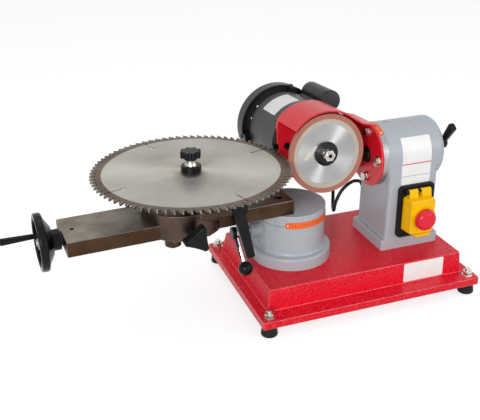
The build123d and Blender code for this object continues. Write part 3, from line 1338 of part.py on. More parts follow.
# Motor screws: four through the bracket plate, and the four tie bolts of the motor
with BuildPart() as motor_screws:
    with BuildSketch(facing(HEAD, PLATE_FRONT)):
        with Locations(*MOTOR_SCREW_SPOTS):
            Circle(MOTOR_SCREW_HEAD_R)
    extrude(amount=MOTOR_SCREW_HEAD)
    with BuildSketch(facing(HEAD, PLATE_FRONT)):
        with Locations(*MOTOR_SCREW_SPOTS):
            Circle(MOTOR_SCREW_R)
    extrude(amount=-(PLATE_THICK + MOTOR_SCREW_GRIP))
    with BuildSketch(facing(HEAD, PLATE_REAR)):
        with Locations(*TIE_SPOTS):
            Circle(TIE_HEAD_R)
    extrude(amount=TIE_HEAD)
    with BuildSketch(facing(HEAD, PLATE_REAR)):
        with Locations(*TIE_SPOTS):
            Circle(MOTOR_SCREW_R)
    extrude(amount=-MOTOR_SCREW_GRIP)

# Capacitor box: a moulded hood on the motor, with a hollow for the capacitor
BOX_LEFT = BOX_CENTRE[0] - BOX_R
with BuildPart() as capacitor_box:
    with BuildSketch(facing(HEAD, BOX_END)):
        with Locations(BOX_CENTRE):
            Circle(BOX_R)
        with BuildLine():
            Polyline(
                (BOX_CENTRE[0] + BOX_FLANK, BOX_CENTRE[1]),
                BOX_FOOT,
                (WHEEL_X + MOTOR_WALL * 2, BOX_FLOOR),
                (BOX_LEFT - BOX_FLANK, BOX_CENTRE[1] - BOX_FLANK / 2),
                (BOX_LEFT, BOX_CENTRE[1]),
                close=True,
            )
        make_face()
    extrude(amount=BOX_END - BOX_START)
    fillet(capacitor_box.edges().filter_by(GeomType.CIRCLE).sort_by(SortBy.LENGTH)[-2:], 2.5)
    with BuildSketch(HEAD.offset(BOX_FLOOR)):
        with Locations((TERMINAL_LEFT + TERMINAL_WIDTH / 2, sum(TERMINAL_RUN) / 2)):
            RectangleRounded(TERMINAL_WIDTH, TERMINAL_RUN[1] - TERMINAL_RUN[0], 3.0)
    extrude(amount=TERMINAL_HEIGHT)
    with BuildSketch(facing(HEAD, BOX_END)):
        with Locations((WHEEL_X, WHEEL_RISE)):
            Circle(MOTOR_R)
    extrude(amount=BOX_END - BOX_START, mode=Mode.SUBTRACT)
    with BuildSketch(facing(HEAD, BOX_END - BOX_WALL)):
        with Locations(BOX_CENTRE):
            Circle(CAPACITOR_R)
    extrude(amount=BOX_END - BOX_START - 2 * BOX_WALL, mode=Mode.SUBTRACT)
    with BuildSketch(HEAD.offset(BOX_FLOOR)):
        with Locations((MOTOR_GLAND_X, MOTOR_GLAND_Y)):
            Circle(GLAND_THREAD_R - 1)
    extrude(amount=GLAND_THREAD, mode=Mode.SUBTRACT)

# Capacitor: a plain can inside its box
with BuildPart() as capacitor:
    with BuildSketch(facing(HEAD, BOX_END - BOX_WALL)):
        with Locations(BOX_CENTRE):
            Circle(CAPACITOR_R)
    extrude(amount=BOX_END - BOX_START - 2 * BOX_WALL - CAPACITOR_INSET)

# Head scale: a strip bent round the top of the pivot disc
with BuildPart() as head_scale:
    with BuildSketch(across(HEAD, DISC_LEFT + HEAD_SCALE_MARGIN)):
        with BuildLine():
            for radius in (PIVOT_DISC_R, PIVOT_DISC_R + SCALE_THICK):
                CenterArc((0, 0), radius, HEAD_SCALE_TURNS[0], HEAD_SCALE_SPAN)
            for turn in HEAD_SCALE_TURNS:
                Line(*ring_spots(PIVOT_DISC_R, [turn]), *ring_spots(PIVOT_DISC_R + SCALE_THICK, [turn]))
        make_face()
    extrude(amount=PIVOT_DISC - 2 * HEAD_SCALE_MARGIN)

# Motor shaft: runs from the wheel nut through rotor and bearings to the fan
NUT_FACE = WHEEL_FACE + DISH_DEPTH - WHEEL_FLANGE
SHAFT_FRONT = NUT_FACE - SPINDLE_NUT - 1.5
HUB_REAR = FRONT_BEARING - 4
REAR_BEARING = HOUSING_END - 4
with BuildPart() as motor_shaft:
    with BuildSketch(SPINDLE):
        with BuildLine():
            Polyline(
                (SHAFT_CENTRE[0], SHAFT_FRONT),
                (SHAFT_NOSE_R, SHAFT_FRONT),
                (SHAFT_NOSE_R, NUT_FACE),
                (SHAFT_R, NUT_FACE),
                (SHAFT_R, FRONT_BEARING + BEARING_WIDTH + GAP),
                (SHAFT_CORE_R, FRONT_BEARING + BEARING_WIDTH + GAP),
                (SHAFT_CORE_R, REAR_BEARING - GAP),
                (SHAFT_R, REAR_BEARING - GAP),
                (SHAFT_R, FAN_START + FAN_PLATE + FAN_BLADE),
                (0, FAN_START + FAN_PLATE + FAN_BLADE),
                (0, SHAFT_FRONT + SHAFT_CENTRE[1]),
                (SHAFT_CENTRE[0], SHAFT_FRONT + SHAFT_CENTRE[1]),
                close=True,
            )
        make_face()
    revolve(axis=SPINDLE_AXIS)

# Rotor: the iron cylinder on the shaft
with BuildPart() as rotor:
    with BuildSketch(facing(HEAD, STATOR_START + STATOR_LENGTH)):
        with Locations((WHEEL_X, WHEEL_RISE)):
            Circle(STATOR_INNER_R - ROTOR_AIR)
            Circle(SHAFT_CORE_R, mode=Mode.SUBTRACT)
    extrude(amount=STATOR_LENGTH)

# Fan: hub, disc and straight blades inside the cover
with BuildPart() as fan:
    with BuildSketch(facing(HEAD, FAN_START + FAN_PLATE)):
        with Locations((WHEEL_X, WHEEL_RISE)):
            Circle(FAN_R)
    extrude(amount=FAN_PLATE)
    with BuildSketch(facing(HEAD, FAN_START + FAN_PLATE + FAN_BLADE)):
        with Locations((WHEEL_X, WHEEL_RISE)):
            Circle(FAN_HUB_R)
        for i in range(FAN_BLADES):
            turn = 360 / FAN_BLADES * i
            with Locations(*ring_spots(FAN_BLADE_MIDDLE, [turn], (WHEEL_X, WHEEL_RISE))):
                Rectangle(FAN_BLADE_REACH, FAN_BLADE_THICK, rotation=turn)
    extrude(amount=FAN_BLADE)
    with BuildSketch(facing(HEAD, FAN_START + FAN_PLATE + FAN_BLADE)):
        with Locations((WHEEL_X, WHEEL_RISE)):
            Circle(SHAFT_R)
    extrude(amount=FAN_PLATE + FAN_BLADE, mode=Mode.SUBTRACT)

# Wheel hub: rear flange and sleeve behind the wheel
BODY_BACK = WHEEL_FACE + WHEEL_BACK
with BuildPart() as wheel_hub:
    with BuildSketch(SPINDLE):
        with BuildLine():
            Polyline(
                (SHAFT_R, BODY_BACK),
                (HUB_FLANGE_R, BODY_BACK),
                (HUB_FLANGE_R, BODY_BACK + HUB_FLANGE),
                (HUB_R, BODY_BACK + HUB_FLANGE + 3),
                (HUB_R, HUB_REAR),
                (SHAFT_R, HUB_REAR),
                close=True,
            )
        make_face()
    revolve(axis=SPINDLE_AXIS)

# Wheel body: dished aluminium disc behind and inside the abrasive rings
with BuildPart() as wheel_body:
    with BuildSketch(SPINDLE):
        with BuildLine():
            Polyline(
                (SHAFT_R, WHEEL_FACE + DISH_DEPTH),
                (WHEEL_FLANGE_R + 2, WHEEL_FACE + DISH_DEPTH),
                (RING_INNER_R, WHEEL_FACE + 0.8),
                (RING_INNER_R, WHEEL_FACE + RIM_THICK),
                (WHEEL_BACK_R, WHEEL_FACE + RIM_THICK),
                (WHEEL_BACK_R - 4, BODY_BACK),
                (SHAFT_R, BODY_BACK),
                close=True,
            )
        make_face()
    revolve(axis=SPINDLE_AXIS)

# Wheel rim: the copper coloured ring at the edge
with BuildPart() as wheel_rim:
    with BuildSketch(SPINDLE):
        with BuildLine():
            Polyline(
                (RIM_INNER_R, WHEEL_FACE),
                (WHEEL_R, WHEEL_FACE),
                (WHEEL_R, WHEEL_FACE + RIM_THICK - 2),
                (WHEEL_R - 2, WHEEL_FACE + RIM_THICK),
                (RIM_INNER_R, WHEEL_FACE + RIM_THICK),
                close=True,
            )
        make_face()
    revolve(axis=SPINDLE_AXIS)

# Diamond ring: the pale ring inside the rim
with BuildPart() as diamond_ring:
    with BuildSketch(facing(HEAD, WHEEL_FACE + RIM_THICK)):
        with Locations((WHEEL_X, WHEEL_RISE)):
            Circle(RIM_INNER_R)
            Circle(RING_INNER_R, mode=Mode.SUBTRACT)
    extrude(amount=RIM_THICK - RING_PROUD)

# Front flange: a dished washer that clamps the wheel
with BuildPart() as front_flange:
    with BuildSketch(SPINDLE):
        with BuildLine():
            Polyline(
                (SHAFT_R, WHEEL_FACE + DISH_DEPTH),
                (WHEEL_FLANGE_R, WHEEL_FACE + DISH_DEPTH),
                (WHEEL_FLANGE_R, WHEEL_FACE + DISH_DEPTH - 2.5),
                (WHEEL_FLANGE_R - 4, NUT_FACE),
                (SHAFT_R, NUT_FACE),
                close=True,
            )
        make_face()
    revolve(axis=SPINDLE_AXIS)

# Spindle nut: holds the wheel on the shaft
with BuildPart() as spindle_nut:
    with BuildSketch(facing(HEAD, NUT_FACE)):
        with Locations((WHEEL_X, WHEEL_RISE)):
            RegularPolygon(SPINDLE_NUT_FLATS / 2, 6, major_radius=False)
            Circle(SHAFT_NOSE_R, mode=Mode.SUBTRACT)
    extrude(amount=SPINDLE_NUT)

# Head lever: hub on the draw bolt and an arm that widens to its end
LEVER_HUB_X = BARREL_RIGHT + GAP
HEAD_LEVER_RUN = ring_spots(1.0, [HEAD_LEVER_TURN])[0]
ARM_X = LEVER_HUB_X + HEAD_LEVER_HUB - HEAD_LEVER_SETBACK
ARM_ROOT = HEAD.from_local_coords((ARM_X, 0, 0))
ARM_TIP = HEAD.from_local_coords(
    (ARM_X, HEAD_LEVER_REACH * HEAD_LEVER_RUN[0], HEAD_LEVER_REACH * HEAD_LEVER_RUN[1])
)
ARM_RUN = HEAD.y_dir * HEAD_LEVER_RUN[0] + HEAD.z_dir * HEAD_LEVER_RUN[1]
with BuildPart() as head_lever:
    with BuildSketch(Plane(ARM_ROOT, x_dir=HEAD.x_dir, z_dir=ARM_RUN)):
        RectangleRounded(HEAD_LEVER_ROOT[1], HEAD_LEVER_ROOT[0], 4)
    with BuildSketch(Plane(ARM_TIP, x_dir=HEAD.x_dir, z_dir=ARM_RUN)):
        RectangleRounded(HEAD_LEVER_TIP[1], HEAD_LEVER_TIP[0], 4)
    loft()
    fillet(head_lever.faces().sort_by(Axis(HEAD.origin, ARM_RUN))[-1].edges(), 3.0)
    with BuildSketch(across(HEAD, LEVER_HUB_X)):
        Circle(HEAD_LEVER_R)
    extrude(amount=HEAD_LEVER_HUB)
    fillet(head_lever.edges().filter_by(GeomType.CIRCLE).sort_by(Axis.X)[-1], 2.0)
    with BuildSketch(across(HEAD, LEVER_HUB_X)):
        Circle(DRAW_R + RUN)
    extrude(amount=HEAD_LEVER_HUB, mode=Mode.SUBTRACT)

# Switch body: face plate, box in the column and the hinge pin of the lid
PLATE_FACE = BODY_FRONT - SWITCH_PLATE
HINGE_Y = PLATE_FACE - HINGE_STANDOFF
LUG_SPANS = (
    (EAR_SPANS[0][0] - LUG_PLAY - LUG_WIDTH, EAR_SPANS[0][0] - LUG_PLAY),
    (EAR_SPANS[1][1] + LUG_PLAY, EAR_SPANS[1][1] + LUG_PLAY + LUG_WIDTH),
)
with BuildPart() as switch_body:
    with BuildSketch(facing(STAND, BODY_FRONT)):
        with Locations((SWITCH_X, SWITCH_Z)):
            RectangleRounded(SWITCH_WIDTH, SWITCH_HEIGHT, SWITCH_CORNER)
    extrude(amount=SWITCH_PLATE)
    fillet(switch_body.faces().sort_by(Axis.Y)[0].edges(), 2.0)
    with BuildSketch(facing(STAND, BODY_FRONT)):
        with Locations((SWITCH_X, SWITCH_Z)):
            Rectangle(SWITCH_BOX[0], SWITCH_BOX[1])
    extrude(amount=-SWITCH_BOX[2])
    for span in LUG_SPANS:
        with BuildSketch(across(STAND, span[0])):
            with Locations((HINGE_Y, HINGE_Z)):
                Circle(EAR_R)
            with Locations(((HINGE_Y + BODY_FRONT) / 2, HINGE_Z)):
                Rectangle(BODY_FRONT - HINGE_Y, 2 * EAR_R)
        extrude(amount=LUG_WIDTH)
    with BuildSketch(across(STAND, LUG_SPANS[0][0])):
        with Locations((HINGE_Y, HINGE_Z)):
            Circle(HINGE_PIN_R)
    extrude(amount=LUG_SPANS[1][1] - LUG_SPANS[0][0])
    with BuildSketch(facing(STAND, PLATE_FACE)):
        with Locations((SWITCH_X, START_Z)):
            Circle(START_R + GAP)
    extrude(amount=-(START_DEPTH + GAP), mode=Mode.SUBTRACT)
    with BuildSketch(facing(STAND, BODY_FRONT)):
        with Locations(*[(SWITCH_SCREW_X, z) for z in SWITCH_SCREW_ZS]):
            Circle(SWITCH_SCREW_R)
    extrude(amount=SWITCH_PLATE, mode=Mode.SUBTRACT)

# Switch screws: two pan heads, plate to column
with BuildPart() as switch_screws:
    with BuildSketch(facing(STAND, PLATE_FACE)):
        with Locations(*[(SWITCH_SCREW_X, z) for z in SWITCH_SCREW_ZS]):
            Circle(SWITCH_SCREW_HEAD_R)
    extrude(amount=SWITCH_SCREW_HEAD)
    with BuildSketch(facing(STAND, PLATE_FACE)):
        with Locations(*[(SWITCH_SCREW_X, z) for z in SWITCH_SCREW_ZS]):
            Circle(SWITCH_SCREW_R)
    extrude(amount=-(SWITCH_PLATE + SWITCH_SCREW_GRIP))

# Switch lid: a yellow shell hung on the pin by two ears, with a ring round the stop knob
LID_BACK = PLATE_FACE - GAP
LID_FRONT = LID_BACK - LID_DEPTH
with BuildPart() as switch_lid:
    with BuildSketch(facing(STAND, LID_BACK)):
        with Locations((LID_X, LID_Z)):
            RectangleRounded(LID_WIDTH, LID_HEIGHT, LID_CORNER)
    with BuildSketch(facing(STAND, LID_FRONT)):
        with Locations((LID_X, LID_Z)):
            RectangleRounded(LID_WIDTH - 2 * LID_LEAN, LID_HEIGHT - LID_LEAN, LID_CORNER)
    loft()
    fillet(switch_lid.faces().sort_by(Axis.Y)[0].edges(), 2.5)
    with BuildSketch(facing(STAND, LID_BACK)):
        with Locations((LID_X, LID_Z)):
            RectangleRounded(LID_WIDTH - 2 * LID_WALL, LID_HEIGHT - 2 * LID_WALL, LID_CORNER - LID_WALL)
    with BuildSketch(facing(STAND, LID_FRONT + LID_WALL)):
        with Locations((LID_X, LID_Z)):
            RectangleRounded(
                LID_WIDTH - 2 * LID_LEAN - 2 * LID_WALL,
                LID_HEIGHT - LID_LEAN - 2 * LID_WALL,
                LID_CORNER - LID_WALL,
            )
    loft(mode=Mode.SUBTRACT)
    with BuildSketch(facing(STAND, LID_FRONT)):
        with Locations((KNOB_X, KNOB_Z)):
            Circle(KNOB_RING_R)
    extrude(amount=KNOB_RING)
    with BuildSketch(facing(STAND, LID_FRONT)):
        with Locations((KNOB_X, KNOB_Z)):
            Circle(KNOB_R + GAP)
    extrude(amount=KNOB_RING, mode=Mode.SUBTRACT)
    with BuildSketch(facing(STAND, LID_FRONT + LID_WALL)):
        with Locations((KNOB_X, KNOB_Z)):
            Circle(KNOB_STEM_R + RUN)
    extrude(amount=LID_WALL, mode=Mode.SUBTRACT)
    with BuildSketch(facing(STAND, LID_FRONT + LID_TAB[2])):
        with Locations((KNOB_X, LID_Z - LID_HEIGHT / 2 - LID_TAB[1] / 2 + 1.5)):
            Rectangle(LID_TAB[0], LID_TAB[1])
    extrude(amount=LID_TAB[2] + KNOB_RING)
    for span in EAR_SPANS:
        with BuildSketch(across(STAND, span[0])):
            with Locations((HINGE_Y, HINGE_Z)):
                Circle(EAR_R)
            with BuildLine():
                Polyline(
                    (HINGE_Y + EAR_R, HINGE_Z),
                    (LID_BACK - 0.5, LID_Z + LID_HEIGHT / 2 - LID_WALL),
                    (HINGE_Y - EAR_R - 2, LID_Z + LID_HEIGHT / 2 - LID_WALL),
                    (HINGE_Y - EAR_R, HINGE_Z),
                    close=True,
                )
            make_face()
        extrude(amount=span[1] - span[0])
    with BuildSketch(across(STAND, EAR_SPANS[0][0])):
        with Locations((HINGE_Y, HINGE_Z)):
            Circle(HINGE_PIN_R + RUN)
    extrude(amount=EAR_SPANS[1][1] - EAR_SPANS[0][0], mode=Mode.SUBTRACT)

# Stop knob: red mushroom whose stem slides in the lid
KNOB_BACK = LID_FRONT - KNOB_LIFT
with BuildPart() as stop_knob:
    with BuildSketch(facing(STAND, KNOB_BACK)):
        with Locations((KNOB_X, KNOB_Z)):
            Circle(KNOB_R)
    extrude(amount=KNOB_THICK)
    fillet(stop_knob.faces().sort_by(Axis.Y)[0].edges(), KNOB_DOME)
    with BuildSketch(facing(STAND, LID_FRONT + LID_WALL)):
        with Locations((KNOB_X, KNOB_Z)):
            Circle(KNOB_STEM_R)
    extrude(amount=LID_WALL + KNOB_LIFT)
    with BuildSketch(facing(STAND, LID_FRONT + LID_WALL + GAP)):
        with Locations((KNOB_X, KNOB_Z)):
            Circle(KNOB_STEM_R)
    extrude(amount=GAP)
    with BuildSketch(facing(STAND, LID_FRONT + LID_WALL + GAP + KNOB_CLIP)):
        with Locations((KNOB_X, KNOB_Z)):
            Circle(KNOB_CLIP_R)
    extrude(amount=KNOB_CLIP)

# Start button: green push button under the lid
with BuildPart() as start_button:
    with BuildSketch(facing(STAND, PLATE_FACE + START_DEPTH - START_PROUD)):
        with Locations((SWITCH_X, START_Z)):
            Circle(START_R)
    extrude(amount=START_DEPTH)

# Cable glands: motor lead and mains entry on the back of the column
with BuildPart() as cable_glands:
    with BuildSketch(facing(STAND, BODY_REAR)):
        with Locations(LEAD_GLAND, MAINS_GLAND):
            Circle(GLAND_THREAD_R)
    extrude(amount=GLAND_THREAD)
    with BuildSketch(facing(STAND, BODY_REAR)):
        with Locations(LEAD_GLAND, MAINS_GLAND):
            RegularPolygon(GLAND_NUT_R, 6, major_radius=False)
    extrude(amount=-GLAND_NUT)
    with BuildSketch(facing(STAND, BODY_REAR + GLAND_NUT)):
        with Locations(LEAD_GLAND, MAINS_GLAND):
            Circle(GLAND_BODY_R)
    extrude(amount=-GLAND_BODY)
    with BuildSketch(facing(STAND, BODY_REAR - GLAND_THREAD)):
        with Locations(LEAD_GLAND, MAINS_GLAND):
            Circle(LEAD_R)
    extrude(amount=-(GLAND_THREAD + GLAND_NUT + GLAND_BODY), mode=Mode.SUBTRACT)

# Motor gland: where the motor lead leaves the capacitor box
with BuildPart() as motor_gland:
    with BuildSketch(HEAD.offset(BOX_FLOOR)):
        with Locations((MOTOR_GLAND_X, MOTOR_GLAND_Y)):
            Circle(GLAND_THREAD_R - 1)
    extrude(amount=GLAND_THREAD)
    with BuildSketch(HEAD.offset(BOX_FLOOR)):
        with Locations((MOTOR_GLAND_X, MOTOR_GLAND_Y)):
            Circle(GLAND_BODY_R - 1)
    extrude(amount=-GLAND_BODY)
    with BuildSketch(HEAD.offset(BOX_FLOOR - GLAND_BODY)):
        with Locations((MOTOR_GLAND_X, MOTOR_GLAND_Y)):
            Circle(LEAD_R + RUN)
    extrude(amount=GLAND_BODY + GLAND_THREAD, mode=Mode.SUBTRACT)

# Motor lead: drops from the motor, folds up again and enters the column from behind
LEAD_TOP = HEAD.from_local_coords((MOTOR_GLAND_X, MOTOR_GLAND_Y, BOX_FLOOR - 2))
LEAD_END = (LEAD_GLAND[0], BODY_REAR + 6, LEAD_GLAND[1])
LEAD_POINTS = [
    tuple(LEAD_TOP),
    tuple(HEAD.from_local_coords((MOTOR_GLAND_X, MOTOR_GLAND_Y, BOX_FLOOR - 2 - LEAD_DROP))),
    (205.5, 83.5, 160.0),
    (208.3, 82.5, 118.0),
    (208.8, 83.0, 81.5),
    (199.0, 59.0, 84.5),
    (201.5, 59.5, 103.0),
    (216.0, 61.0, 127.5),
    (LEAD_GLAND[0], 63.0, LEAD_GLAND[1]),
    LEAD_END,
]
LEAD_RUNS = [Vector(*b) - Vector(*a) for a, b in zip(LEAD_POINTS, LEAD_POINTS[1:])]
LEAD_BENDS = [
    0.45 * min(a.length, b.length) / tan(radians(a.get_angle(b)) / 2)
    for a, b in zip(LEAD_RUNS, LEAD_RUNS[1:])
]
print("motor lead bend radii", [round(bend, 1) for bend in LEAD_BENDS])
print("motor lead runs", [round(run.length, 1) for run in LEAD_RUNS])
with BuildPart() as motor_lead:
    with BuildLine() as lead_path:
        FilletPolyline(*LEAD_POINTS, radius=LEAD_BENDS)
    with BuildSketch(Plane(LEAD_POINTS[0], z_dir=LEAD_RUNS[0])):
        Circle(LEAD_R)
    sweep(path=lead_path.wires()[0])
LEAD_LENGTH = lead_path.wires()[0].length
print("motor lead length", round(LEAD_LENGTH, 1))
print("motor lead volume ratio", round(motor_lead.part.volume / (3.14159265 * LEAD_R**2 * LEAD_LENGTH), 4))

base.part.label = "base"
export_step(base.part, "parts/base.step")
rubber_feet.part.label = "rubber_feet"
export_step(rubber_feet.part, "parts/rubber_feet.step")
foot_bolts.part.label = "foot_bolts"
export_step(foot_bolts.part, "parts/foot_bolts.step")
column.part.label = "column"
export_step(column.part, "parts/column.step")
swivel_base.part.label = "swivel_base"
export_step(swivel_base.part, "parts/swivel_base.step")
base_bolts.part.label = "base_bolts"
export_step(base_bolts.part, "parts/base_bolts.step")
ball_lever.part.label = "ball_lever"
export_step(ball_lever.part, "parts/ball_lever.step")
ball_knob.part.label = "ball_knob"
export_step(ball_knob.part, "parts/ball_knob.step")
turntable.part.label = "turntable"
export_step(turntable.part, "parts/turntable.step")
swivel_scale.part.label = "swivel_scale"
export_step(swivel_scale.part, "parts/swivel_scale.step")
slide_bar.part.label = "slide_bar"
export_step(slide_bar.part, "parts/slide_bar.step")
bar_bolts.part.label = "bar_bolts"
export_step(bar_bolts.part, "parts/bar_bolts.step")
screw_bush.part.label = "screw_bush"
export_step(screw_bush.part, "parts/screw_bush.step")
lead_screw.part.label = "lead_screw"
export_step(lead_screw.part, "parts/lead_screw.step")
handwheel.part.label = "handwheel"
export_step(handwheel.part, "parts/handwheel.step")
crank_grip.part.label = "crank_grip"
export_step(crank_grip.part, "parts/crank_grip.step")
carriage.part.label = "carriage"
export_step(carriage.part, "parts/carriage.step")
keeper_plate.part.label = "keeper_plate"
export_step(keeper_plate.part, "parts/keeper_plate.step")
lead_nut.part.label = "lead_nut"
export_step(lead_nut.part, "parts/lead_nut.step")
arbor.part.label = "arbor"
export_step(arbor.part, "parts/arbor.step")
saw_blade.part.label = "saw_blade"
export_step(saw_blade.part, "parts/saw_blade.step")
carbide_tips.part.label = "carbide_tips"
export_step(carbide_tips.part, "parts/carbide_tips.step")
blade_collar.part.label = "blade_collar"
export_step(blade_collar.part, "parts/blade_collar.step")
star_knob.part.label = "star_knob"
export_step(star_knob.part, "parts/star_knob.step")
tri_knob.part.label = "tri_knob"
export_step(tri_knob.part, "parts/tri_knob.step")
carriage_lever.part.label = "carriage_lever"
export_step(carriage_lever.part, "parts/carriage_lever.step")
pivot_shaft.part.label = "pivot_shaft"
export_step(pivot_shaft.part, "parts/pivot_shaft.step")
motor_bracket.part.label = "motor_bracket"
export_step(motor_bracket.part, "parts/motor_bracket.step")
draw_bolt.part.label = "draw_bolt"
export_step(draw_bolt.part, "parts/draw_bolt.step")
bracket_bolts.part.label = "bracket_bolts"
export_step(bracket_bolts.part, "parts/bracket_bolts.step")
wheel_guard.part.label = "wheel_guard"
export_step(wheel_guard.part, "parts/wheel_guard.step")
front_shield.part.label = "front_shield"
export_step(front_shield.part, "parts/front_shield.step")
motor_housing.part.label = "motor_housing"
export_step(motor_housing.part, "parts/motor_housing.step")
rear_shield.part.label = "rear_shield"
export_step(rear_shield.part, "parts/rear_shield.step")
fan_cover.part.label = "fan_cover"
export_step(fan_cover.part, "parts/fan_cover.step")
motor_bearings.part.label = "motor_bearings"
export_step(motor_bearings.part, "parts/motor_bearings.step")
stator.part.label = "stator"
export_step(stator.part, "parts/stator.step")
motor_screws.part.label = "motor_screws"
export_step(motor_screws.part, "parts/motor_screws.step")
capacitor_box.part.label = "capacitor_box"
export_step(capacitor_box.part, "parts/capacitor_box.step")
capacitor.part.label = "capacitor"
export_step(capacitor.part, "parts/capacitor.step")
head_scale.part.label = "head_scale"
export_step(head_scale.part, "parts/head_scale.step")
motor_shaft.part.label = "motor_shaft"
export_step(motor_shaft.part, "parts/motor_shaft.step")
rotor.part.label = "rotor"
export_step(rotor.part, "parts/rotor.step")
fan.part.label = "fan"
export_step(fan.part, "parts/fan.step")
wheel_hub.part.label = "wheel_hub"
export_step(wheel_hub.part, "parts/wheel_hub.step")
wheel_body.part.label = "wheel_body"
export_step(wheel_body.part, "parts/wheel_body.step")
wheel_rim.part.label = "wheel_rim"
export_step(wheel_rim.part, "parts/wheel_rim.step")
diamond_ring.part.label = "diamond_ring"
export_step(diamond_ring.part, "parts/diamond_ring.step")
front_flange.part.label = "front_flange"
export_step(front_flange.part, "parts/front_flange.step")
spindle_nut.part.label = "spindle_nut"
export_step(spindle_nut.part, "parts/spindle_nut.step")
head_lever.part.label = "head_lever"
export_step(head_lever.part, "parts/head_lever.step")
switch_body.part.label = "switch_body"
export_step(switch_body.part, "parts/switch_body.step")
switch_screws.part.label = "switch_screws"
export_step(switch_screws.part, "parts/switch_screws.step")
switch_lid.part.label = "switch_lid"
export_step(switch_lid.part, "parts/switch_lid.step")
stop_knob.part.label = "stop_knob"
export_step(stop_knob.part, "parts/stop_knob.step")
start_button.part.label = "start_button"
export_step(start_button.part, "parts/start_button.step")
cable_glands.part.label = "cable_glands"
export_step(cable_glands.part, "parts/cable_glands.step")
motor_gland.part.label = "motor_gland"
export_step(motor_gland.part, "parts/motor_gland.step")
motor_lead.part.label = "motor_lead"
export_step(motor_lead.part, "parts/motor_lead.step")
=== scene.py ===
from math import asin, cos, hypot, radians, sin

import bpy
from mathutils import Euler, Matrix, Vector


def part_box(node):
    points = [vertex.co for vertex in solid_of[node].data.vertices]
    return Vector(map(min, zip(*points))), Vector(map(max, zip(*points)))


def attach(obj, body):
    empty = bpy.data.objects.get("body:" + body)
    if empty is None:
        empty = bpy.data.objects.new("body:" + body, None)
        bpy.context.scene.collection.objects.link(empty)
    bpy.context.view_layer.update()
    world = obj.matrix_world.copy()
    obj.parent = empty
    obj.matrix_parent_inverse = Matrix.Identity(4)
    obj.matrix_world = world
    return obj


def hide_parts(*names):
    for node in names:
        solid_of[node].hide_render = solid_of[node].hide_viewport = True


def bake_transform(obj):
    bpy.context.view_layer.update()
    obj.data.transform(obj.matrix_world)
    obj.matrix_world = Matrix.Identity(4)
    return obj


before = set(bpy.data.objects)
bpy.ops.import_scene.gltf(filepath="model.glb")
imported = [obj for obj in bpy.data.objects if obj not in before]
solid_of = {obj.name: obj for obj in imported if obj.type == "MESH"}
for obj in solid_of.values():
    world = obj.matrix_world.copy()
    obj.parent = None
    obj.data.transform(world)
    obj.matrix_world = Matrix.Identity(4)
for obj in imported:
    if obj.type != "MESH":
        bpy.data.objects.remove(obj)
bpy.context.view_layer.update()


# Base: a hollow iron casting with a flange all round and a raised box, sprayed with red hammer enamel.
# The enamel draws up into small grains that catch the light; its edges are painted pale, partly as enamel
# worn thin and partly as painted highlight for the glint along them.
def new_finish(name):
    material = bpy.data.materials.new(name)
    material.use_nodes = True
    return material, material.node_tree, material.node_tree.nodes["Principled BSDF"]


def node(tree, kind, wires=(), sockets=(), **settings):
    made = tree.nodes.new(kind)
    for name, value in settings.items():
        setattr(made, name, value)
    for name, value in dict(sockets).items():
        made.inputs[name].default_value = value
    for name, source in dict(wires).items():
        tree.links.new(source, made.inputs[name])
    return made


def maths(tree, operation, *values):
    made = node(tree, "ShaderNodeMath", operation=operation)
    for socket, value in zip(made.inputs, values):
        if isinstance(value, (int, float)):
            socket.default_value = value
        else:
            tree.links.new(value, socket)
    return made.outputs[0]


def place(tree, middle=(0, 0, 0), turn=(0, 0, 0), stretch=(1, 1, 1)):
    spot = node(tree, "ShaderNodeTexCoord").outputs["Object"]
    sockets = {"Location": middle, "Rotation": turn, "Scale": stretch}
    return node(tree, "ShaderNodeMapping", {"Vector": spot}, sockets, vector_type="TEXTURE").outputs["Vector"]


def noise(tree, scale, detail=3.0, spot=None):
    sockets = {"Scale": scale, "Detail": detail}
    return node(tree, "ShaderNodeTexNoise", {"Vector": spot or place(tree)}, sockets).outputs["Fac"]


def tones(tree, height, *stops):
    ramp = node(tree, "ShaderNodeValToRGB", {"Fac": height})
    while len(ramp.color_ramp.elements) < len(stops):
        ramp.color_ramp.elements.new(0.5)
    for element, (spot, colour) in zip(ramp.color_ramp.elements, stops):
        element.position = spot
        element.color = (*colour, 1)
    return ramp.outputs["Color"]


def spread(tree, height, low, high, start=0.3, end=0.7):
    sockets = {"From Min": start, "From Max": end, "To Min": low, "To Max": high}
    return node(tree, "ShaderNodeMapRange", {"Value": height}, sockets).outputs["Result"]


def mixed(tree, share, first, second):
    mix = node(tree, "ShaderNodeMix", {"Factor": share}, data_type="RGBA")
    for name, colour in (("A", first), ("B", second)):
        if isinstance(colour, tuple):
            mix.inputs[name].default_value = (*colour, 1)
        else:
            tree.links.new(colour, mix.inputs[name])
    return mix.outputs["Result"]


def relief(tree, shader, height, strength, depth, edge=0.0007):
    rounding = node(tree, "ShaderNodeBevel", (), {"Radius": edge}, samples=4).outputs["Normal"]
    sockets = {"Strength": strength, "Distance": depth}
    bump = node(tree, "ShaderNodeBump", {"Height": height, "Normal": rounding}, sockets)
    tree.links.new(bump.outputs["Normal"], shader.inputs["Normal"])


# Pale edge mask: partly enamel or steel worn thin, partly painted highlight standing in for the glint along
# the edges.
def worn_and_glinting_edges(tree, radius, patches):
    rounding = node(tree, "ShaderNodeBevel", (), {"Radius": radius}, samples=4).outputs["Normal"]
    flat = node(tree, "ShaderNodeNewGeometry").outputs["Normal"]
    meet = node(tree, "ShaderNodeVectorMath", operation="DOT_PRODUCT")
    tree.links.new(rounding, meet.inputs[0])
    tree.links.new(flat, meet.inputs[1])
    edge = spread(tree, meet.outputs["Value"], 0.0, 1.0, 0.995, 0.93)
    return maths(tree, "MULTIPLY", edge, spread(tree, patches, 0.45, 1.0, 0.35, 0.6))


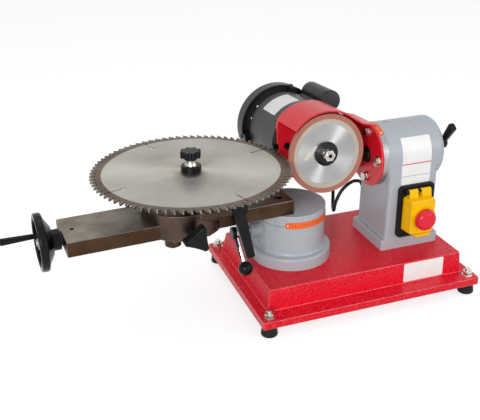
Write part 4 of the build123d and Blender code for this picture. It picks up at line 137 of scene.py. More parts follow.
def hammer_enamel(name, dark, mid, light, edge_wear_and_glint, grain, rough, strength, gloss):
    material, tree, shader = new_finish(name)
    speck = noise(tree, grain)
    cloud = noise(tree, 9.0)
    paint = tones(tree, speck, (0.3, dark), (0.5, mid), (0.72, light))
    paint = mixed(tree, worn_and_glinting_edges(tree, 0.0017, noise(tree, 120.0)), paint, edge_wear_and_glint)
    tree.links.new(paint, shader.inputs["Base Color"])
    tree.links.new(spread(tree, cloud, rough - 0.05, rough + 0.07), shader.inputs["Roughness"])
    shader.inputs["Specular IOR Level"].default_value = gloss
    relief(tree, shader, speck, strength, 0.0009, 0.0012)
    return material


def dress(material, *names):
    for name in names:
        solid_of[name].data.materials.clear()
        solid_of[name].data.materials.append(material)


red_enamel = hammer_enamel(
    "red_hammer_enamel",
    (0.50, 0.001, 0.008), (0.74, 0.004, 0.020), (0.95, 0.05, 0.085), (0.95, 0.36, 0.38),
    480.0, 0.25, 0.8, 0.2,
)
dress(red_enamel, "base")

# Base plate: a bare white enamelled plate stuck on the front of the casting.
# It is thin sheet with rounded corners, and lies a hair above the enamel.
LIFT = 0.00002
BOX_LEAN = Vector((0, 0.001, 0.036)).normalized()
BASE_PLATE_MID = Vector((0.273, -0.1185, 0.048))


def thin_plate(name, size, thick, corner, cuts, wrap, material, body):
    bpy.ops.object.select_all(action="DESELECT")
    bpy.ops.mesh.primitive_plane_add(size=1)
    plate = bpy.context.view_layer.objects.active
    plate.name = name
    plate.scale = (size[0], size[1], 1)
    bpy.ops.object.transform_apply(location=False, rotation=False, scale=True)
    bpy.ops.object.mode_set(mode="EDIT")
    bpy.ops.mesh.select_all(action="SELECT")
    bpy.ops.mesh.bevel(offset=corner, segments=6, affect="VERTICES")
    for axis in (0, 1):
        for i in range(1, cuts[axis]):
            line = Vector((0, 0, 0))
            line[axis] = size[axis] * (i / cuts[axis] - 0.5)
            bpy.ops.mesh.select_all(action="SELECT")
            bpy.ops.mesh.bisect(plane_co=line, plane_no=(1 - axis, axis, 0))
    bpy.ops.object.mode_set(mode="OBJECT")
    wall = plate.modifiers.new("sheet", "SOLIDIFY")
    wall.thickness = thick
    wall.offset = 1.0
    bpy.ops.object.modifier_apply(modifier="sheet")
    for point in plate.data.vertices:
        point.co = wrap(*point.co)
    bpy.ops.object.shade_smooth_by_angle(angle=radians(30))
    plate.data.materials.append(material)
    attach(plate, body)
    return plate


def blank_enamel(name, dark, light, rules=()):
    material, tree, shader = new_finish(name)
    paint = tones(tree, noise(tree, 60.0), (0.3, dark), (0.7, light))
    height = node(tree, "ShaderNodeSeparateXYZ", {"Vector": place(tree)}).outputs["Z"]
    for low, high, colour in rules:
        above = maths(tree, "GREATER_THAN", height, low)
        below = maths(tree, "LESS_THAN", height, high)
        paint = mixed(tree, maths(tree, "MULTIPLY", above, below), paint, colour)
    tree.links.new(paint, shader.inputs["Base Color"])
    tree.links.new(spread(tree, noise(tree, 40.0), 0.3, 0.42), shader.inputs["Roughness"])
    relief(tree, shader, noise(tree, 500.0), 0.03, 0.0002, 0.0002)
    return material


white_enamel = blank_enamel("white_plate_enamel", (0.82, 0.82, 0.81), (0.88, 0.88, 0.87))


def on_box_front(x, z, out):
    front = Vector((0, -BOX_LEAN.z, BOX_LEAN.y))
    return BASE_PLATE_MID + Vector((x, 0, 0)) + BOX_LEAN * z + front * (out + LIFT)


thin_plate(
    "base_plate", (0.072, 0.0325), 0.0003, 0.002, (2, 2), on_box_front, white_enamel, "stand"
)

# Feet: black rubber buffers under the four corners, each held by a zinc-plated stud, washer and nut.
# The plating is bright, with a faint warm tint and fine scratches.


def moulded(name, dark, light, rough, grain=900.0, strength=0.06, gloss=0.3):
    material, tree, shader = new_finish(name)
    cloud = noise(tree, 25.0)
    tree.links.new(tones(tree, cloud, (0.3, dark), (0.7, light)), shader.inputs["Base Color"])
    tree.links.new(spread(tree, cloud, rough - 0.05, rough + 0.06), shader.inputs["Roughness"])
    shader.inputs["Specular IOR Level"].default_value = gloss
    relief(tree, shader, noise(tree, grain, 2.0), strength, 0.0003)
    return material


def bright_metal(name, dark, light, rough):
    material, tree, shader = new_finish(name)
    shader.inputs["Metallic"].default_value = 1.0
    scratch = noise(tree, 300.0)
    tree.links.new(tones(tree, noise(tree, 30.0), (0.3, dark), (0.7, light)), shader.inputs["Base Color"])
    tree.links.new(spread(tree, scratch, rough - 0.06, rough + 0.08), shader.inputs["Roughness"])
    relief(tree, shader, scratch, 0.02, 0.0002, 0.0005)
    return material


foot_rubber = moulded("foot_rubber", (0.006, 0.006, 0.007), (0.016, 0.016, 0.018), 0.5, 500.0, 0.15, 0.15)
dress(foot_rubber, "rubber_feet")
zinc = bright_metal("zinc_plate", (0.46, 0.44, 0.40), (0.70, 0.68, 0.62), 0.24)
dress(zinc, "foot_bolts")

# Column: a grey iron casting, square below and round above, where the cross barrel carries the head.
# Its smooth hammer enamel shows only a fine grain.
grey_enamel = hammer_enamel(
    "grey_hammer_enamel",
    (0.380, 0.412, 0.444), (0.402, 0.436, 0.470), (0.425, 0.460, 0.495), (0.58, 0.61, 0.63),
    380.0, 0.28, 0.05, 0.35,
)
dress(grey_enamel, "column")

# Column plate: a bare white plate bent from the flat front of the column up over its barrel.
# A plain red line and a grey line cross it.
BARREL_MID = Vector((0, -0.016, 0.2175))
BARREL_R = 0.0504
BODY_FRONT = -0.066
BEND_TURN = -asin((1 - ((BARREL_MID.y - BODY_FRONT) / BARREL_R) ** 2) ** 0.5)
BEND_Z = BARREL_MID.z + BARREL_R * sin(BEND_TURN)
PLATE_FOOT_Z = 0.1768
PLATE_LENGTH = 0.0783
PLATE_X = 0.27735
RED_RULE = (0.2105, 0.2122, (0.62, 0.02, 0.04))
GREY_RULE = (0.1905, 0.1912, (0.16, 0.16, 0.18))


def on_column_front(x, s, out):
    rise = s + PLATE_LENGTH / 2
    flat = BEND_Z - PLATE_FOOT_Z
    if rise <= flat:
        return Vector((PLATE_X + x, BODY_FRONT - out - LIFT, PLATE_FOOT_Z + rise))
    turn = BEND_TURN + (rise - flat) / BARREL_R
    reach = BARREL_R + out + LIFT
    return BARREL_MID + Vector((PLATE_X + x, -reach * cos(turn), reach * sin(turn)))


ruled_enamel = blank_enamel(
    "ruled_plate_enamel", (0.80, 0.80, 0.80), (0.87, 0.87, 0.87), (RED_RULE, GREY_RULE)
)
thin_plate(
    "column_plate", (0.0517, PLATE_LENGTH), 0.0003, 0.002, (2, 40),
    on_column_front, ruled_enamel, "stand",
)

# Index mark: a short red line painted on top of the barrel, beside the head's scale.
# It is read against the strip on the pivot disc.
INDEX_X = 0.2455
INDEX_TURN = radians(91)


def on_barrel_top(x, s, out):
    turn = INDEX_TURN - s / BARREL_R
    reach = BARREL_R + out + LIFT
    return BARREL_MID + Vector((INDEX_X + x, -reach * cos(turn), reach * sin(turn)))


index_red = blank_enamel("index_red", (0.50, 0.02, 0.04), (0.60, 0.03, 0.05))
thin_plate(
    "index_mark", (0.009, 0.0016), 0.0002, 0.0005, (2, 4), on_barrel_top, index_red, "stand"
)

# Swivel base: a grey drum of cast iron on a round foot, turned and then enamelled.
# Blacked bolts hold it to the base casting from inside.
dress(grey_enamel, "swivel_base")
blacked = bright_metal("blacked_steel", (0.018, 0.018, 0.019), (0.045, 0.045, 0.047), 0.34)
dress(blacked, "base_bolts")

# Ball lever: a chromed clamp hub and rod with a black ball on its end.
# The outer end of the hub is closed by a black cap.
CAP_EDGE_X = -0.0095


def two_finishes(name, mask, first, second):
    material, tree, shader = new_finish(name)
    share = mask(tree)
    cloud = noise(tree, 30.0)
    colours = [tones(tree, cloud, (0.3, dark), (0.7, light)) for dark, light, *_ in (first, second)]
    tree.links.new(mixed(tree, share, *colours), shader.inputs["Base Color"])
    for socket, spot in (("Metallic", 2), ("Roughness", 3)):
        tree.links.new(spread(tree, share, first[spot], second[spot], 0.0, 1.0), shader.inputs[socket])
    shader.inputs["Specular IOR Level"].default_value = 0.14
    relief(tree, shader, noise(tree, 200.0), 0.004, 0.0002)
    return material


def beyond(axis, limit, side):
    def mask(tree):
        spot = node(tree, "ShaderNodeSeparateXYZ", {"Vector": place(tree)}).outputs[axis]
        return maths(tree, side, spot, limit)
    return mask


CHROME = ((0.52, 0.53, 0.55), (0.72, 0.73, 0.74), 1.0, 0.08)
BLACK = ((0.004, 0.004, 0.005), (0.010, 0.010, 0.011), 0.0, 0.2)
dress(two_finishes("chrome_with_cap", beyond("X", CAP_EDGE_X, "LESS_THAN"), CHROME, BLACK), "ball_lever")
black_gloss = moulded(
    "black_gloss_moulding", (0.004, 0.004, 0.0045), (0.009, 0.009, 0.010), 0.15, 700.0, 0.02, 0.13
)
dress(black_gloss, "ball_knob")

# Turntable: the grey cap that swings on the drum and carries the arm.
# Its lower edge over the drum is painted dark grey as painted shade, standing in for the shadow in the gap.
GAP_SHADE_TOP_Z = 0.1379
GAP_SHADE_GREY = (0.10, 0.105, 0.11)
cap_enamel = grey_enamel.copy()
cap_enamel.name = "grey_cap_enamel_with_painted_gap_shade"
tree = cap_enamel.node_tree
socket = next(item for item in tree.nodes if item.type == "BSDF_PRINCIPLED").inputs["Base Color"]
# Painted shade along the gap over the drum.
painted_gap_shade = beyond("Z", GAP_SHADE_TOP_Z, "LESS_THAN")(tree)
tree.links.new(mixed(tree, painted_gap_shade, socket.links[0].from_socket, GAP_SHADE_GREY), socket)
dress(cap_enamel, "turntable")

# Swivel scale: an orange strip with rounded ends, bent round the turntable and riveted at both ends.
# Short dark marks stand along its middle, one for each five degrees.
MARK_REPEAT = radians(2.5)
MARK_HALF = radians(0.42)


def scale_paint(name, middle, turn, around, along, centre, half):
    material, tree, shader = new_finish(name)
    split = node(tree, "ShaderNodeSeparateXYZ", {"Vector": place(tree, middle, turn)})
    angle = maths(tree, "ARCTAN2", split.outputs[around[0]], split.outputs[around[1]])
    mark = maths(tree, "LESS_THAN", maths(tree, "PINGPONG", angle, MARK_REPEAT), MARK_HALF)
    far = maths(tree, "ABSOLUTE", maths(tree, "SUBTRACT", split.outputs[along], centre))
    mark = maths(tree, "MULTIPLY", mark, maths(tree, "LESS_THAN", far, half))
    paint = tones(tree, noise(tree, 60.0), (0.3, (0.80, 0.105, 0.006)), (0.7, (0.90, 0.14, 0.010)))
    tree.links.new(mixed(tree, mark, paint, (0.16, 0.03, 0.01)), shader.inputs["Base Color"])
    tree.links.new(spread(tree, noise(tree, 80.0), 0.3, 0.42), shader.inputs["Roughness"])
    relief(tree, shader, noise(tree, 400.0), 0.03, 0.0002, 0.0002)
    return material


def button(name, radius, height, rounding, spots, body, material, socket=0.0):
    bpy.ops.object.select_all(action="DESELECT")
    bpy.ops.mesh.primitive_cylinder_add(vertices=24, radius=radius, depth=height, location=(0, 0, height / 2))
    part = bpy.context.view_layer.objects.active
    bpy.ops.object.transform_apply(location=True, rotation=False, scale=False)

    def pick_top():
        bpy.ops.object.mode_set(mode="OBJECT")
        for group in (part.data.vertices, part.data.edges, part.data.polygons):
            for item in group:
                item.select = False
        top = max(part.data.polygons, key=lambda face: (round(face.center.z, 6), face.area))
        top.select = True
        bpy.ops.object.mode_set(mode="EDIT")

    bpy.context.tool_settings.mesh_select_mode = (False, False, True)
    pick_top()
    bpy.ops.mesh.bevel(offset=rounding, segments=4, affect="EDGES")
    if socket:
        pick_top()
        bpy.ops.mesh.inset(thickness=radius - rounding - socket)
        bpy.ops.mesh.extrude_region_move(TRANSFORM_OT_translate={"value": (0, 0, -height * 0.6)})
    bpy.ops.object.mode_set(mode="OBJECT")
    bpy.ops.object.shade_smooth_by_angle(angle=radians(35))
    part.data.materials.append(material)
    heads = [part]
    for _ in spots[1:]:
        heads.append(bpy.data.objects.new(name, part.data.copy()))
        bpy.context.scene.collection.objects.link(heads[-1])
    for i, (head, (spot, out)) in enumerate(zip(heads, spots)):
        head.name = f"{name}_{i + 1}"
        turn = out.to_track_quat("Z", "Y").to_matrix().to_4x4()
        head.data.transform(Matrix.Translation(spot) @ turn)
        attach(head, body)


def end_rivets(name, wrap, half, body):
    spots = [(wrap(s, 0, 0.0005), wrap(s, 0, 1) - wrap(s, 0, 0)) for s in (-half, half)]
    button(name, 0.0016, 0.001, 0.0007, spots, body, zinc)


SWIVEL = Vector((0.084, -0.016, 0))
SWIVEL_R = 0.055
low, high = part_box("swivel_scale")
STRIP_Z = (low[2] + high[2]) / 2
STRIP_START, STRIP_END = radians(238.0), radians(350.0)
SWIVEL_STRIP = SWIVEL_R * (STRIP_END - STRIP_START)


def on_turntable(s, z, out):
    turn = (STRIP_START + STRIP_END) / 2 + s / SWIVEL_R
    reach = SWIVEL_R + out + LIFT
    return SWIVEL + Vector((reach * cos(turn), reach * sin(turn), STRIP_Z + z))


swivel_paint = scale_paint("swivel_scale_paint", tuple(SWIVEL), (0, 0, 0), ("Y", "X"), "Z", STRIP_Z, 0.0017)
swivel_strip = thin_plate(
    "swivel_strip", (SWIVEL_STRIP, high[2] - low[2]), 0.0006, 0.0048, (48, 2),
    on_turntable, swivel_paint, "turntable",
)
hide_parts("swivel_scale")
end_rivets("swivel_rivet", on_turntable, SWIVEL_STRIP / 2 - 0.0042, "turntable")

# Slide bar: a thick flat bar of ground steel, browned and oiled, bored for the lead screw.
# Its upward faces are painted paler than its flanks as painted light for the brighter reflection on top, and
# its corners are painted bright, partly wear and partly painted highlight.
ARM_TURN = (0, 0, radians(2.5))


def browned(name, flank, top, edge_wear_and_glint, rough, stretch, turn=(0, 0, 0)):
    material, tree, shader = new_finish(name)
    shader.inputs["Metallic"].default_value = 1.0
    marks = noise(tree, 500.0, 4.0, place(tree, turn=turn, stretch=stretch))
    stain = noise(tree, 22.0, 5.0)
    facing = node(tree, "ShaderNodeNewGeometry").outputs["Normal"]
    up = node(tree, "ShaderNodeSeparateXYZ", {"Vector": facing}).outputs["Z"]
    # Painted light: faces that look up get the paler top tone, flanks the darker one.
    painted_top_light = spread(tree, up, 0.0, 1.0, 0.6, 0.9)
    flank_tone = tones(tree, stain, *zip((0.28, 0.5, 0.74), flank))
    painted_lit_top_tone = tones(tree, stain, *zip((0.28, 0.5, 0.74), top))
    steel = mixed(tree, painted_top_light, flank_tone, painted_lit_top_tone)
    steel = mixed(tree, worn_and_glinting_edges(tree, 0.001, noise(tree, 90.0)), steel, edge_wear_and_glint)
    tree.links.new(steel, shader.inputs["Base Color"])
    tree.links.new(spread(tree, marks, rough - 0.07, rough + 0.1), shader.inputs["Roughness"])
    relief(tree, shader, marks, 0.1, 0.0002)
    return material


bar_steel = browned(
    "browned_bar_steel",
    ((0.040, 0.022, 0.012), (0.058, 0.034, 0.020), (0.092, 0.058, 0.037)),
    ((0.120, 0.098, 0.072), (0.200, 0.176, 0.140), (0.30, 0.272, 0.225)),
    (0.42, 0.39, 0.34), 0.4, (14, 1, 1), ARM_TURN,
)
dress(bar_steel, "slide_bar")
dress(blacked, "bar_bolts", "screw_bush")

# Lead screw: a ground steel screw in the channel of the bar, with a brass nut under the carriage.
# Its square thread runs along its whole middle.
SCREW_PITCH = 0.004


def threaded(name, axis_turn, pitch):
    material, tree, shader = new_finish(name)
    shader.inputs["Metallic"].default_value = 1.0
    wave = node(tree, "ShaderNodeTexWave", {"Vector": place(tree, turn=axis_turn)}, {"Scale": 0.314 / pitch})
    steel = tones(tree, noise(tree, 40.0), (0.3, (0.38, 0.37, 0.35)), (0.7, (0.54, 0.53, 0.5)))
    tree.links.new(steel, shader.inputs["Base Color"])
    tree.links.new(spread(tree, noise(tree, 200.0), 0.24, 0.36), shader.inputs["Roughness"])
    relief(tree, shader, wave.outputs["Fac"], 0.8, 0.001, 0.0003)
    return material


dress(threaded("screw_thread", ARM_TURN, SCREW_PITCH), "lead_screw")
dress(bright_metal("turned_brass", (0.52, 0.33, 0.11), (0.68, 0.46, 0.18), 0.3), "lead_nut")

# Handwheel: a dished wheel moulded in glossy black plastic, fixed on the end of the lead screw.
# Its slim grip turns on a pin in the rim.
dress(black_gloss, "handwheel", "crank_grip")

# Carriage: a round saddle of browned cast iron that slides on the bar, with a boss for its lever.
# The keeper plate closes it below, and the arbor post stands in its top.
saddle = browned(
    "browned_saddle",
    ((0.042, 0.027, 0.020), (0.070, 0.048, 0.038), (0.11, 0.080, 0.066)),
    ((0.070, 0.048, 0.038), (0.11, 0.082, 0.069), (0.16, 0.130, 0.113)),
    (0.30, 0.25, 0.21), 0.36, (3, 3, 1),
)
dress(saddle, "carriage", "keeper_plate", "arbor")

# Saw blade: a ground plate with a bright face, a darker untouched rim and brazed carbide tips.
# The grinding marks run in rings, so the face shines in cones.


def ringed(
    name, middle, turn, axis, plate, pitch, rough, strength, metallic=1.0, sheen=0.0, rim=None, hub=None
):
    material, tree, shader = new_finish(name)
    shader.inputs["Metallic"].default_value = metallic
    flat = Vector((1, 1, 1))
    flat["XYZ".index(axis)] = 1000
    spot = place(tree, middle, turn, tuple(flat))
    far = node(tree, "ShaderNodeVectorMath", operation="LENGTH")
    tree.links.new(spot, far.inputs[0])
    radius = far.outputs["Value"]
    sockets = {"Scale": pitch, "Detail": 3.0}
    rings = node(tree, "ShaderNodeTexNoise", {"W": radius}, sockets, noise_dimensions="1D").outputs["Fac"]
    stain = noise(tree, 16.0, 5.0)
    tone = tones(tree, stain, *zip((0.25, 0.5, 0.75), plate))
    if hub:
        fade = spread(tree, radius, 0.55, 0.0, hub[0], hub[1])
        blots = spread(tree, noise(tree, 45.0, 5.0), 0.0, 1.0, 0.42, 0.62)
        tone = mixed(tree, maths(tree, "MULTIPLY", fade, blots), tone, hub[2])
    if rim:
        outer = spread(tree, radius, 0.0, 1.0, rim[0] - 0.0004, rim[0] + 0.0004)
        tone = mixed(tree, outer, tone, tones(tree, stain, (0.3, rim[1]), (0.7, rim[2])))
    tree.links.new(tone, shader.inputs["Base Color"])
    tree.links.new(spread(tree, rings, rough - 0.06, rough + 0.06), shader.inputs["Roughness"])
    if sheen:
        shader.inputs["Anisotropic"].default_value = sheen
        around = node(tree, "ShaderNodeTangent", direction_type="RADIAL", axis=axis).outputs["Tangent"]
        tree.links.new(around, shader.inputs["Tangent"])
    relief(tree, shader, rings, strength, 0.0002, 0.0003)
    return material


blade_steel = ringed(
    "ground_blade", (-0.078845, -0.02311, 0.2374), (0, 0, 0), "Z",
    ((0.34, 0.32, 0.285), (0.40, 0.385, 0.35), (0.46, 0.445, 0.41)), 1500.0, 0.42, 0.08, sheen=0.8,
    rim=(0.1313, (0.085, 0.062, 0.046), (0.17, 0.135, 0.105)), hub=(0.018, 0.062, (0.30, 0.24, 0.18)),
)
dress(blade_steel, "saw_blade")
dress(bright_metal("carbide", (0.15, 0.135, 0.12), (0.26, 0.24, 0.22), 0.34), "carbide_tips")
dress(black_gloss, "blade_collar")

# Star knob: a lobed black grip moulded on a bright turned neck.
# It screws on the arbor's stud and clamps the blade.
NECK_TOP_Z = 0.2541
BRIGHT = ((0.46, 0.45, 0.42), (0.66, 0.65, 0.62), 1.0, 0.24)
dress(two_finishes("grip_on_bright_neck", beyond("Z", NECK_TOP_Z, "LESS_THAN"), BLACK, BRIGHT), "star_knob")

# Hand clamps of the carriage: a three-armed knob at its front and a long lever at its side.
# Both are moulded in satin black plastic on steel screws.
black_satin = moulded(
    "black_satin_moulding", (0.006, 0.006, 0.0068), (0.013, 0.013, 0.0148), 0.32, 900.0, 0.06, 0.12
)
dress(black_satin, "tri_knob", "carriage_lever")

# Pivot: a turned aluminium disc and shaft in the barrel, with the bracket screwed to its face.
# Bracket and wheel guard are bent sheet with a glossy red powder coat.
turned_aluminium = bright_metal("turned_aluminium", (0.30, 0.32, 0.33), (0.40, 0.42, 0.43), 0.38)
dress(turned_aluminium, "pivot_shaft", "capacitor")
red_coat = hammer_enamel(
    "red_powder_coat",
    (0.62, 0.006, 0.016), (0.67, 0.009, 0.020), (0.72, 0.015, 0.027), (0.85, 0.12, 0.13),
    900.0, 0.24, 0.02, 0.3,
)
dress(red_coat, "motor_bracket", "wheel_guard")
dress(zinc, "bracket_bolts", "switch_screws", "spindle_nut", "wheel_hub", "motor_bearings")
dress(blacked, "draw_bolt", "motor_screws")

# Head scale: an orange strip bent round the pivot disc and riveted at both ends.
# It is marked at every five degrees, and leans with the head.
HEAD_LEAN = radians(4)
HEAD_TURN = (-HEAD_LEAN, 0, 0)
BACK = Vector((0, cos(HEAD_LEAN), -sin(HEAD_LEAN)))
RISE = Vector((0, sin(HEAD_LEAN), cos(HEAD_LEAN)))
DISC_R = BARREL_R
low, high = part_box("head_scale")
DISC_X = (low[0] + high[0]) / 2
ARC_START, ARC_END = radians(52), radians(130)
HEAD_STRIP = DISC_R * (ARC_END - ARC_START)


def on_pivot_disc(s, x, out):
    turn = (ARC_START + ARC_END) / 2 + s / DISC_R
    reach = DISC_R + out + LIFT
    return BARREL_MID + Vector((DISC_X + x, 0, 0)) + (BACK * cos(turn) + RISE * sin(turn)) * reach


head_paint = scale_paint("head_scale_paint", tuple(BARREL_MID), HEAD_TURN, ("Z", "Y"), "X", DISC_X, 0.0015)
head_strip = thin_plate(
    "head_strip", (HEAD_STRIP, high[0] - low[0]), 0.0006, 0.0036, (36, 2),
    on_pivot_disc, head_paint, "head",
)
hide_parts("head_scale")
end_rivets("head_rivet", on_pivot_disc, HEAD_STRIP / 2 - 0.004, "head")

# Motor: a dark grey shell between two end shields, with a fan under a deep cover.
# The cover is grey satin outside and painted near-black within as painted shade, as are the rear shield and
# fan, and three screws hold it on its lugs.
SPINDLE = Vector((0.1325, -0.014675, 0.236454))
COVER_R = 0.0708
COVER_BORE_R = 0.0692
COVER_REAR = 0.1845
COVER_SCREW_PLACE = 0.1665
COVER_SCREW_TURNS = (70, 190, 310)
motor_paint = moulded("motor_paint", (0.034, 0.034, 0.032), (0.046, 0.045, 0.043), 0.34, 500.0, 0.05, 0.2)
dress(motor_paint, "motor_housing", "front_shield")


def in_head(tree):
    return node(tree, "ShaderNodeSeparateXYZ", {"Vector": place(tree, tuple(SPINDLE), HEAD_TURN)}).outputs


def near_spindle(tree, radius):
    spot = in_head(tree)
    across = maths(tree, "MULTIPLY", spot["X"], spot["X"])
    up = maths(tree, "MULTIPLY", spot["Z"], spot["Z"])
    return maths(tree, "LESS_THAN", maths(tree, "ADD", across, up), radius**2)


# Mask of the cover's inner bore, which takes the painted shade.
def shaded_inside_cover(tree):
    before_rear = maths(tree, "LESS_THAN", in_head(tree)["Y"], COVER_REAR)
    return maths(tree, "MULTIPLY", near_spindle(tree, COVER_BORE_R), before_rear)


SATIN = ((0.030, 0.030, 0.028), (0.042, 0.041, 0.039), 0.0, 0.32)
SHADE = ((0.005, 0.005, 0.005), (0.010, 0.010, 0.010), 0.0, 0.5)
dress(two_finishes("cover_paint_and_painted_shade", shaded_inside_cover, SATIN, SHADE), "fan_cover")
dress(moulded("motor_shadow_paint", (0.005, 0.005, 0.005), (0.010, 0.010, 0.010), 0.5), "rear_shield", "fan")
dress(bright_metal("lamination_steel", (0.16, 0.15, 0.15), (0.24, 0.22, 0.2), 0.45), "stator", "rotor")
spots = []
for turn in COVER_SCREW_TURNS:
    out = Vector((cos(radians(turn)), 0, 0)) + RISE * sin(radians(turn))
    spots.append((SPINDLE + BACK * COVER_SCREW_PLACE + out * (COVER_R - 0.0002), out))
button("cover_screw", 0.0034, 0.0022, 0.0009, spots, "head", blacked, 0.0014)

# Motor plate: a bare white plate of thin sheet, bent to the motor's shell and stuck on it.
# It sits on the upper side, between the guard and the cover.
MOTOR_R = 0.0615
MOTOR_PLATE_TURN = radians(113.25)
MOTOR_PLATE_ARC = radians(46.5)
MOTOR_PLATE_PLACE = 0.1005


def on_motor(s, z, out):
    turn = MOTOR_PLATE_TURN + s / MOTOR_R
    reach = MOTOR_R + out + LIFT
    away = Vector((cos(turn), 0, 0)) + RISE * sin(turn)
    return SPINDLE + BACK * (MOTOR_PLATE_PLACE - z) + away * reach


motor_enamel = blank_enamel("motor_plate_enamel", (0.68, 0.68, 0.68), (0.77, 0.77, 0.77))
thin_plate(
    "motor_plate", (MOTOR_R * MOTOR_PLATE_ARC, 0.049), 0.0003, 0.002, (20, 2),
    on_motor, motor_enamel, "head",
)

# Capacitor box: a black moulded box beside the motor, open to the terminals below.
# Its front end is a smooth lid, painted paler than the sides as painted reflection of the bright
# surroundings.
BOX_LID_EDGE = 0.0743


def on_box_lid(tree):
    return maths(tree, "LESS_THAN", in_head(tree)["Y"], BOX_LID_EDGE)


BOX_SIDE = ((0.014, 0.014, 0.014), (0.024, 0.024, 0.024), 0.0, 0.3)
BOX_LID_PAINTED_SHEEN = ((0.045, 0.045, 0.046), (0.075, 0.075, 0.076), 0.0, 0.22)
dress(two_finishes("box_moulding", on_box_lid, BOX_SIDE, BOX_LID_PAINTED_SHEEN), "capacitor_box")

# Grinding wheel: an aluminium body turned on its face, with a copper-coloured bond and a pale grit band.
# The turning marks run in rings, so the dish shines in cones.
wheel_face = ringed(
    "turned_wheel_face", tuple(SPINDLE), HEAD_TURN, "Y",
    ((0.40, 0.41, 0.42), (0.46, 0.47, 0.48), (0.52, 0.53, 0.54)), 2500.0, 0.46, 0.12, sheen=0.95,
)
dress(wheel_face, "wheel_body")
copper = ringed(
    "copper_bond", tuple(SPINDLE), HEAD_TURN, "Y",
    ((0.33, 0.115, 0.078), (0.38, 0.138, 0.095), (0.43, 0.16, 0.11)), 900.0, 0.5, 0.15, metallic=0.0,
)
dress(copper, "wheel_rim")
grit = ringed(
    "grit_band", tuple(SPINDLE), HEAD_TURN, "Y",
    ((0.42, 0.375, 0.31), (0.47, 0.425, 0.355), (0.52, 0.475, 0.40)), 1800.0, 0.6, 0.3, metallic=0.0,
)
dress(grit, "diamond_ring")
dress(blacked, "front_flange")

# Motor shaft: a ground steel shaft that carries the rotor, the fan and the wheel.
# The centre hole in its front end is painted dark as painted shade.
CENTRE_HOLE_R = 0.00305


def shaded_centre_hole(tree):
    return near_spindle(tree, CENTRE_HOLE_R)


GROUND = ((0.40, 0.39, 0.37), (0.55, 0.54, 0.52), 1.0, 0.28)
dress(two_finishes("shaft_steel", shaded_centre_hole, GROUND, SHADE), "motor_shaft")

# Wheel strip: a bare pale strip stuck on the dish of the grinding wheel.
# It follows the shallow cone of the dish.
DISH_R = 0.021
DISH_FLOOR = 0.023
DISH_SLOPE = 0.0022 / 0.0265
WHEEL_STRIP_TURN = radians(41.5)
WHEEL_STRIP_SPOT = (-0.026, 0.00425)


def on_dish(s, t, out):
    x = WHEEL_STRIP_SPOT[0] + s * cos(WHEEL_STRIP_TURN) - t * sin(WHEEL_STRIP_TURN)
    z = WHEEL_STRIP_SPOT[1] + s * sin(WHEEL_STRIP_TURN) + t * cos(WHEEL_STRIP_TURN)
    proud = max(hypot(x, z) - DISH_R, 0) * DISH_SLOPE
    return SPINDLE + Vector((x, 0, 0)) + RISE * z - BACK * (DISH_FLOOR + proud + out + 2 * LIFT)


strip_paper = blank_enamel("wheel_strip_paper", (0.58, 0.56, 0.46), (0.68, 0.66, 0.56))
thin_plate(
    "wheel_strip", (0.0285, 0.0075), 0.0003, 0.001, (10, 6), on_dish, strip_paper, "spindle"
)

# Head lever: a short clamp lever of satin black plastic.
# It turns on the end of the draw bolt and holds the head's tilt.
dress(black_satin, "head_lever")

# Switch: a black moulded body screwed on the column, with a yellow lid on a hinge pin.
# The red stop knob stands in the lid, and the green start button is under it.
switch_black = moulded("switch_black", (0.006, 0.006, 0.006), (0.013, 0.013, 0.013), 0.4, 900.0, 0.12, 0.12)
dress(switch_black, "switch_body")
dress(moulded("lid_yellow", (0.86, 0.47, 0.0), (0.94, 0.54, 0.001), 0.28, 500.0, 0.03, 0.22), "switch_lid")
dress(moulded("stop_red", (0.72, 0.014, 0.036), (0.80, 0.020, 0.046), 0.26, 500.0, 0.03, 0.25), "stop_knob")
dress(moulded("start_green", (0.02, 0.26, 0.06), (0.03, 0.34, 0.08), 0.34, 500.0, 0.03), "start_button")

# Glands and motor lead: black nylon cable entries, and a rubber-sheathed lead from motor to column.
# The lead leaves the motor's terminals, folds up behind the arm and enters the column from behind.
dress(black_satin, "cable_glands", "motor_gland")
LEAD_R = 0.003
route = [
    (0.1995, 0.08914, 0.25827),
    (0.1995, 0.08593, 0.21238),
    (0.2055, 0.0835, 0.16),
    (0.2083, 0.0825, 0.118),
    (0.2088, 0.083, 0.0815),
    (0.199, 0.059, 0.0845),
    (0.2015, 0.0595, 0.103),
    (0.216, 0.061, 0.1275),
    (0.244, 0.063, 0.14),
    (0.244, 0.035, 0.14),
]
lead_curve = bpy.data.curves.new("motor_lead_sheath", "CURVE")
lead_curve.dimensions = "3D"
lead_curve.resolution_u = 16
spline = lead_curve.splines.new("NURBS")
spline.points.add(len(route) - 1)
for point, spot in zip(spline.points, route):
    point.co = (*spot, 1)
spline.order_u = 3
spline.use_endpoint_u = True
lead = bpy.data.objects.new("motor_lead_sheath", lead_curve)
bpy.context.scene.collection.objects.link(lead)
bpy.context.view_layer.update()
line = bpy.data.meshes.new_from_object(lead)
bpy.data.meshes.remove(line)
lead_curve.bevel_depth = LEAD_R
lead_curve.bevel_resolution = 5
lead_curve.use_fill_caps = True
bpy.ops.object.select_all(action="DESELECT")
lead.select_set(True)
bpy.context.view_layer.objects.active = lead
bpy.ops.object.convert(target="MESH")
lead = bpy.context.view_layer.objects.active
lead_sheath = moulded("lead_sheath", (0.006, 0.006, 0.007), (0.014, 0.014, 0.015), 0.34, 400.0, 0.06)
lead.data.materials.append(lead_sheath)
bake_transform(lead)
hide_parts("motor_lead")

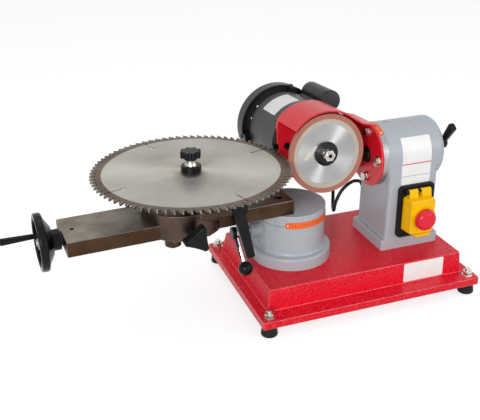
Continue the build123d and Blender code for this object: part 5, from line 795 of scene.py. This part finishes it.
# Stage: a plain white floor and a white surround, lit by three soft lamps.
# The camera stands at the height of a person at the bench.
FLOOR_GLOW = 0.68
AIM = (0.05, 0, 0.15)
bpy.ops.object.select_all(action="DESELECT")
bpy.ops.mesh.primitive_plane_add(size=24, location=(0, 0, 0))
floor = bpy.context.view_layer.objects.active
floor.name = "floor"
material, tree, shader = new_finish("floor_white")
shader.inputs["Base Color"].default_value = (0.50, 0.50, 0.50, 1)
shader.inputs["Roughness"].default_value = 0.9
shader.inputs["Specular IOR Level"].default_value = 0.0


def seen_ray(tree):
    path = node(tree, "ShaderNodeLightPath")
    seen = maths(tree, "MAXIMUM", path.outputs["Is Camera Ray"], path.outputs["Is Glossy Ray"])
    return maths(tree, "MAXIMUM", seen, path.outputs["Is Transmission Ray"])


shader.inputs["Emission Color"].default_value = (1, 1, 1, 1)
tree.links.new(maths(tree, "MULTIPLY", seen_ray(tree), FLOOR_GLOW), shader.inputs["Emission Strength"])
floor.data.materials.append(material)

world = bpy.data.worlds.new("studio")
bpy.context.scene.world = world
world.use_nodes = True
tree = world.node_tree
sky = tree.nodes["Background"]
sky.inputs["Color"].default_value = (1, 1, 1, 1)
tree.links.new(spread(tree, seen_ray(tree), 0.5, 1.0, 0.0, 1.0), sky.inputs["Strength"])


def lamp(name, spot, aim, power, size):
    bpy.ops.object.light_add(type="AREA", location=spot)
    light = bpy.context.view_layer.objects.active
    light.name = name
    light.data.energy = power
    light.data.size = size
    light.rotation_euler = (Vector(aim) - Vector(spot)).to_track_quat("-Z", "Y").to_euler()


lamp("key", (-1.2, -1.9, 0.95), AIM, 34.0, 1.0)
lamp("fill", (1.5, -1.6, 0.9), (0.1, 0, 0.15), 8.0, 1.0)
lamp("top", (0.1, 0.5, 2.0), AIM, 5.0, 1.2)

bpy.ops.object.camera_add(location=(-0.35993, -1.03297, 0.66802))
camera = bpy.context.view_layer.objects.active
camera.data.lens = 57.7
camera.data.sensor_width = 36
camera.data.sensor_fit = "HORIZONTAL"
turn = Euler((radians(64.6), 0, radians(-19.42))).to_matrix() @ Matrix.Rotation(radians(-0.9), 3, "Z")
camera.rotation_euler = turn.to_euler()
bpy.context.scene.camera = camera
bpy.context.scene.view_settings.view_transform = "Standard"
